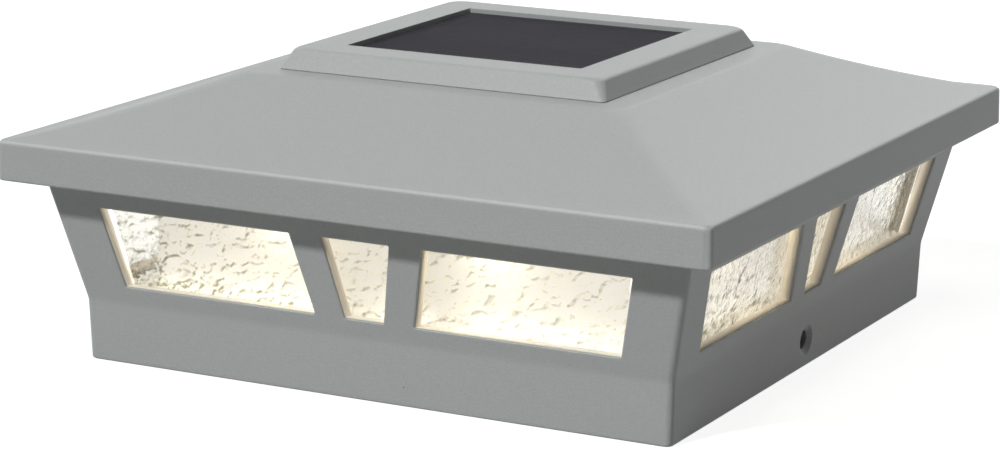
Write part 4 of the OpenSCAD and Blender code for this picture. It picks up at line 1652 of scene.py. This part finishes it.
@dataclass
class Studio:
    """Camera, floor, white surroundings and lamps.

    The surroundings are white where they are seen and give only a little light, and the
    floor is plain under the cap.
    """

    azimuth: float = 27.5335
    elevation: float = 13.128
    distance: float = 850.81
    roll: float = 0.4301
    target: tuple[float, float, float] = (-6.045, 0.0, 26.247)
    lens: float = 119.405
    sensor: float = 36.0
    sky_light: float = 0.02
    floor_white: float = 0.88
    floor_grey: str = "#a3a3a2"
    floor_half: float = 4.0
    footprint: float = 78.0
    suns: tuple[Sun, ...] = (
        Sun("key_front_left", -18, 42.5, 2.06, 5),
        Sun("overhead", 0, 89, 0.45, 30),
        Sun("rim_back", 180, 30, 0.58, 40),
        Sun("fill_right", 90, 25, 0.06, 40),
        Sun("fill_front", 0, 8, 0.14, 30),
    )

    def camera(self) -> None:
        """Stands the camera where the photograph was taken from."""
        az, roll = math.radians(self.azimuth), math.radians(self.roll)
        back = direction(self.azimuth, self.elevation)
        level = Vector((math.cos(az), math.sin(az), 0))
        upright = back.cross(level)
        right = math.cos(roll) * level + math.sin(roll) * upright
        up = -math.sin(roll) * level + math.cos(roll) * upright
        data = bpy.data.cameras.new("photograph_view")
        data.lens, data.sensor_width = self.lens, self.sensor
        data.clip_start, data.clip_end = 0.05, 20.0
        made = placed("photograph_view", data)
        made.location = (Vector(self.target) + back * self.distance) * MM
        made.rotation_mode = "QUATERNION"
        made.rotation_quaternion = Matrix((right, up, back)).transposed().to_quaternion()
        bpy.context.scene.camera = made

    def seen_rays(self, tree: Tree) -> Socket:
        """Tells rays by which a thing is seen from those that carry light to a surface.

        Args:
            tree: the tree that asks.

        Returns:
            1 for camera, glossy and transmission rays, and 0 for others.
        """
        path = add(tree, "LightPath").outputs
        first = add(tree, "Math", {0: path["Is Camera Ray"], 1: path["Is Glossy Ray"]}, operation="MAXIMUM")
        both = {0: first.outputs[0], 1: path["Is Transmission Ray"]}
        return add(tree, "Math", both, operation="MAXIMUM").outputs[0]

    def surroundings(self) -> None:
        """White all round where it is seen, and a soft even light where it is not."""
        world = bpy.data.worlds.new("white_studio")
        world.use_nodes = True
        tree = world.node_tree
        level = {"Value": self.seen_rays(tree), "To Min": self.sky_light, "To Max": 1.0}
        level = add(tree, "MapRange", level).outputs[0]
        fill(tree, tree.nodes["Background"], {"Color": linear("#ffffff"), "Strength": level})
        bpy.context.scene.world = world

    def floor(self) -> None:
        """A pale floor that keeps the shadow, is white where it is seen, and plain under the cap."""
        mesh = bpy.data.meshes.new("studio_floor")
        corners = [(x * self.floor_half, y * self.floor_half, 0) for x, y in CORNERS]
        mesh.from_pydata(corners, [], [(0, 2, 3, 1)])
        placed("studio_floor", mesh)
        material = bpy.data.materials.new("pale_studio_floor")
        material.use_nodes = True
        tree = material.node_tree
        tree.nodes.clear()
        plain = add(tree, "BsdfDiffuse", {"Color": linear(self.floor_grey)}).outputs[0]
        half = square_distance(tree, add(tree, "TexCoord").outputs["Object"])
        outside = add(tree, "Math", {0: half, 1: self.footprint * MM}, operation="GREATER_THAN").outputs[0]
        share = add(tree, "Math", {0: self.seen_rays(tree), 1: outside}, operation="MULTIPLY").outputs[0]
        level = add(tree, "Math", {0: share, 1: self.floor_white}, operation="MULTIPLY").outputs[0]
        white = add(tree, "Emission", {"Color": linear("#ffffff"), "Strength": level}).outputs[0]
        both = add(tree, "AddShader", {0: plain, 1: white}).outputs[0]
        add(tree, "OutputMaterial", {"Surface": both})
        mesh.materials.append(material)

    def build(self) -> None:
        """Sets up the whole studio."""
        bpy.context.scene.view_settings.view_transform = "Standard"
        self.camera()
        self.surroundings()
        self.floor()
        for sun in self.suns:
            sun.build()


def main() -> None:
    """Builds the cap light piece by piece and writes how large it came out."""
    logging.basicConfig(level=logging.INFO, format="%(name)s: %(message)s")
    for unit in (Roof(), WindowBody(), Panes(), PaneSeals(), LightWorks(), SolarTop(), LampModule(), Studio()):
        unit.build()
        log.info("built %s", type(unit).__name__)


if __name__ == "__main__":
    main()
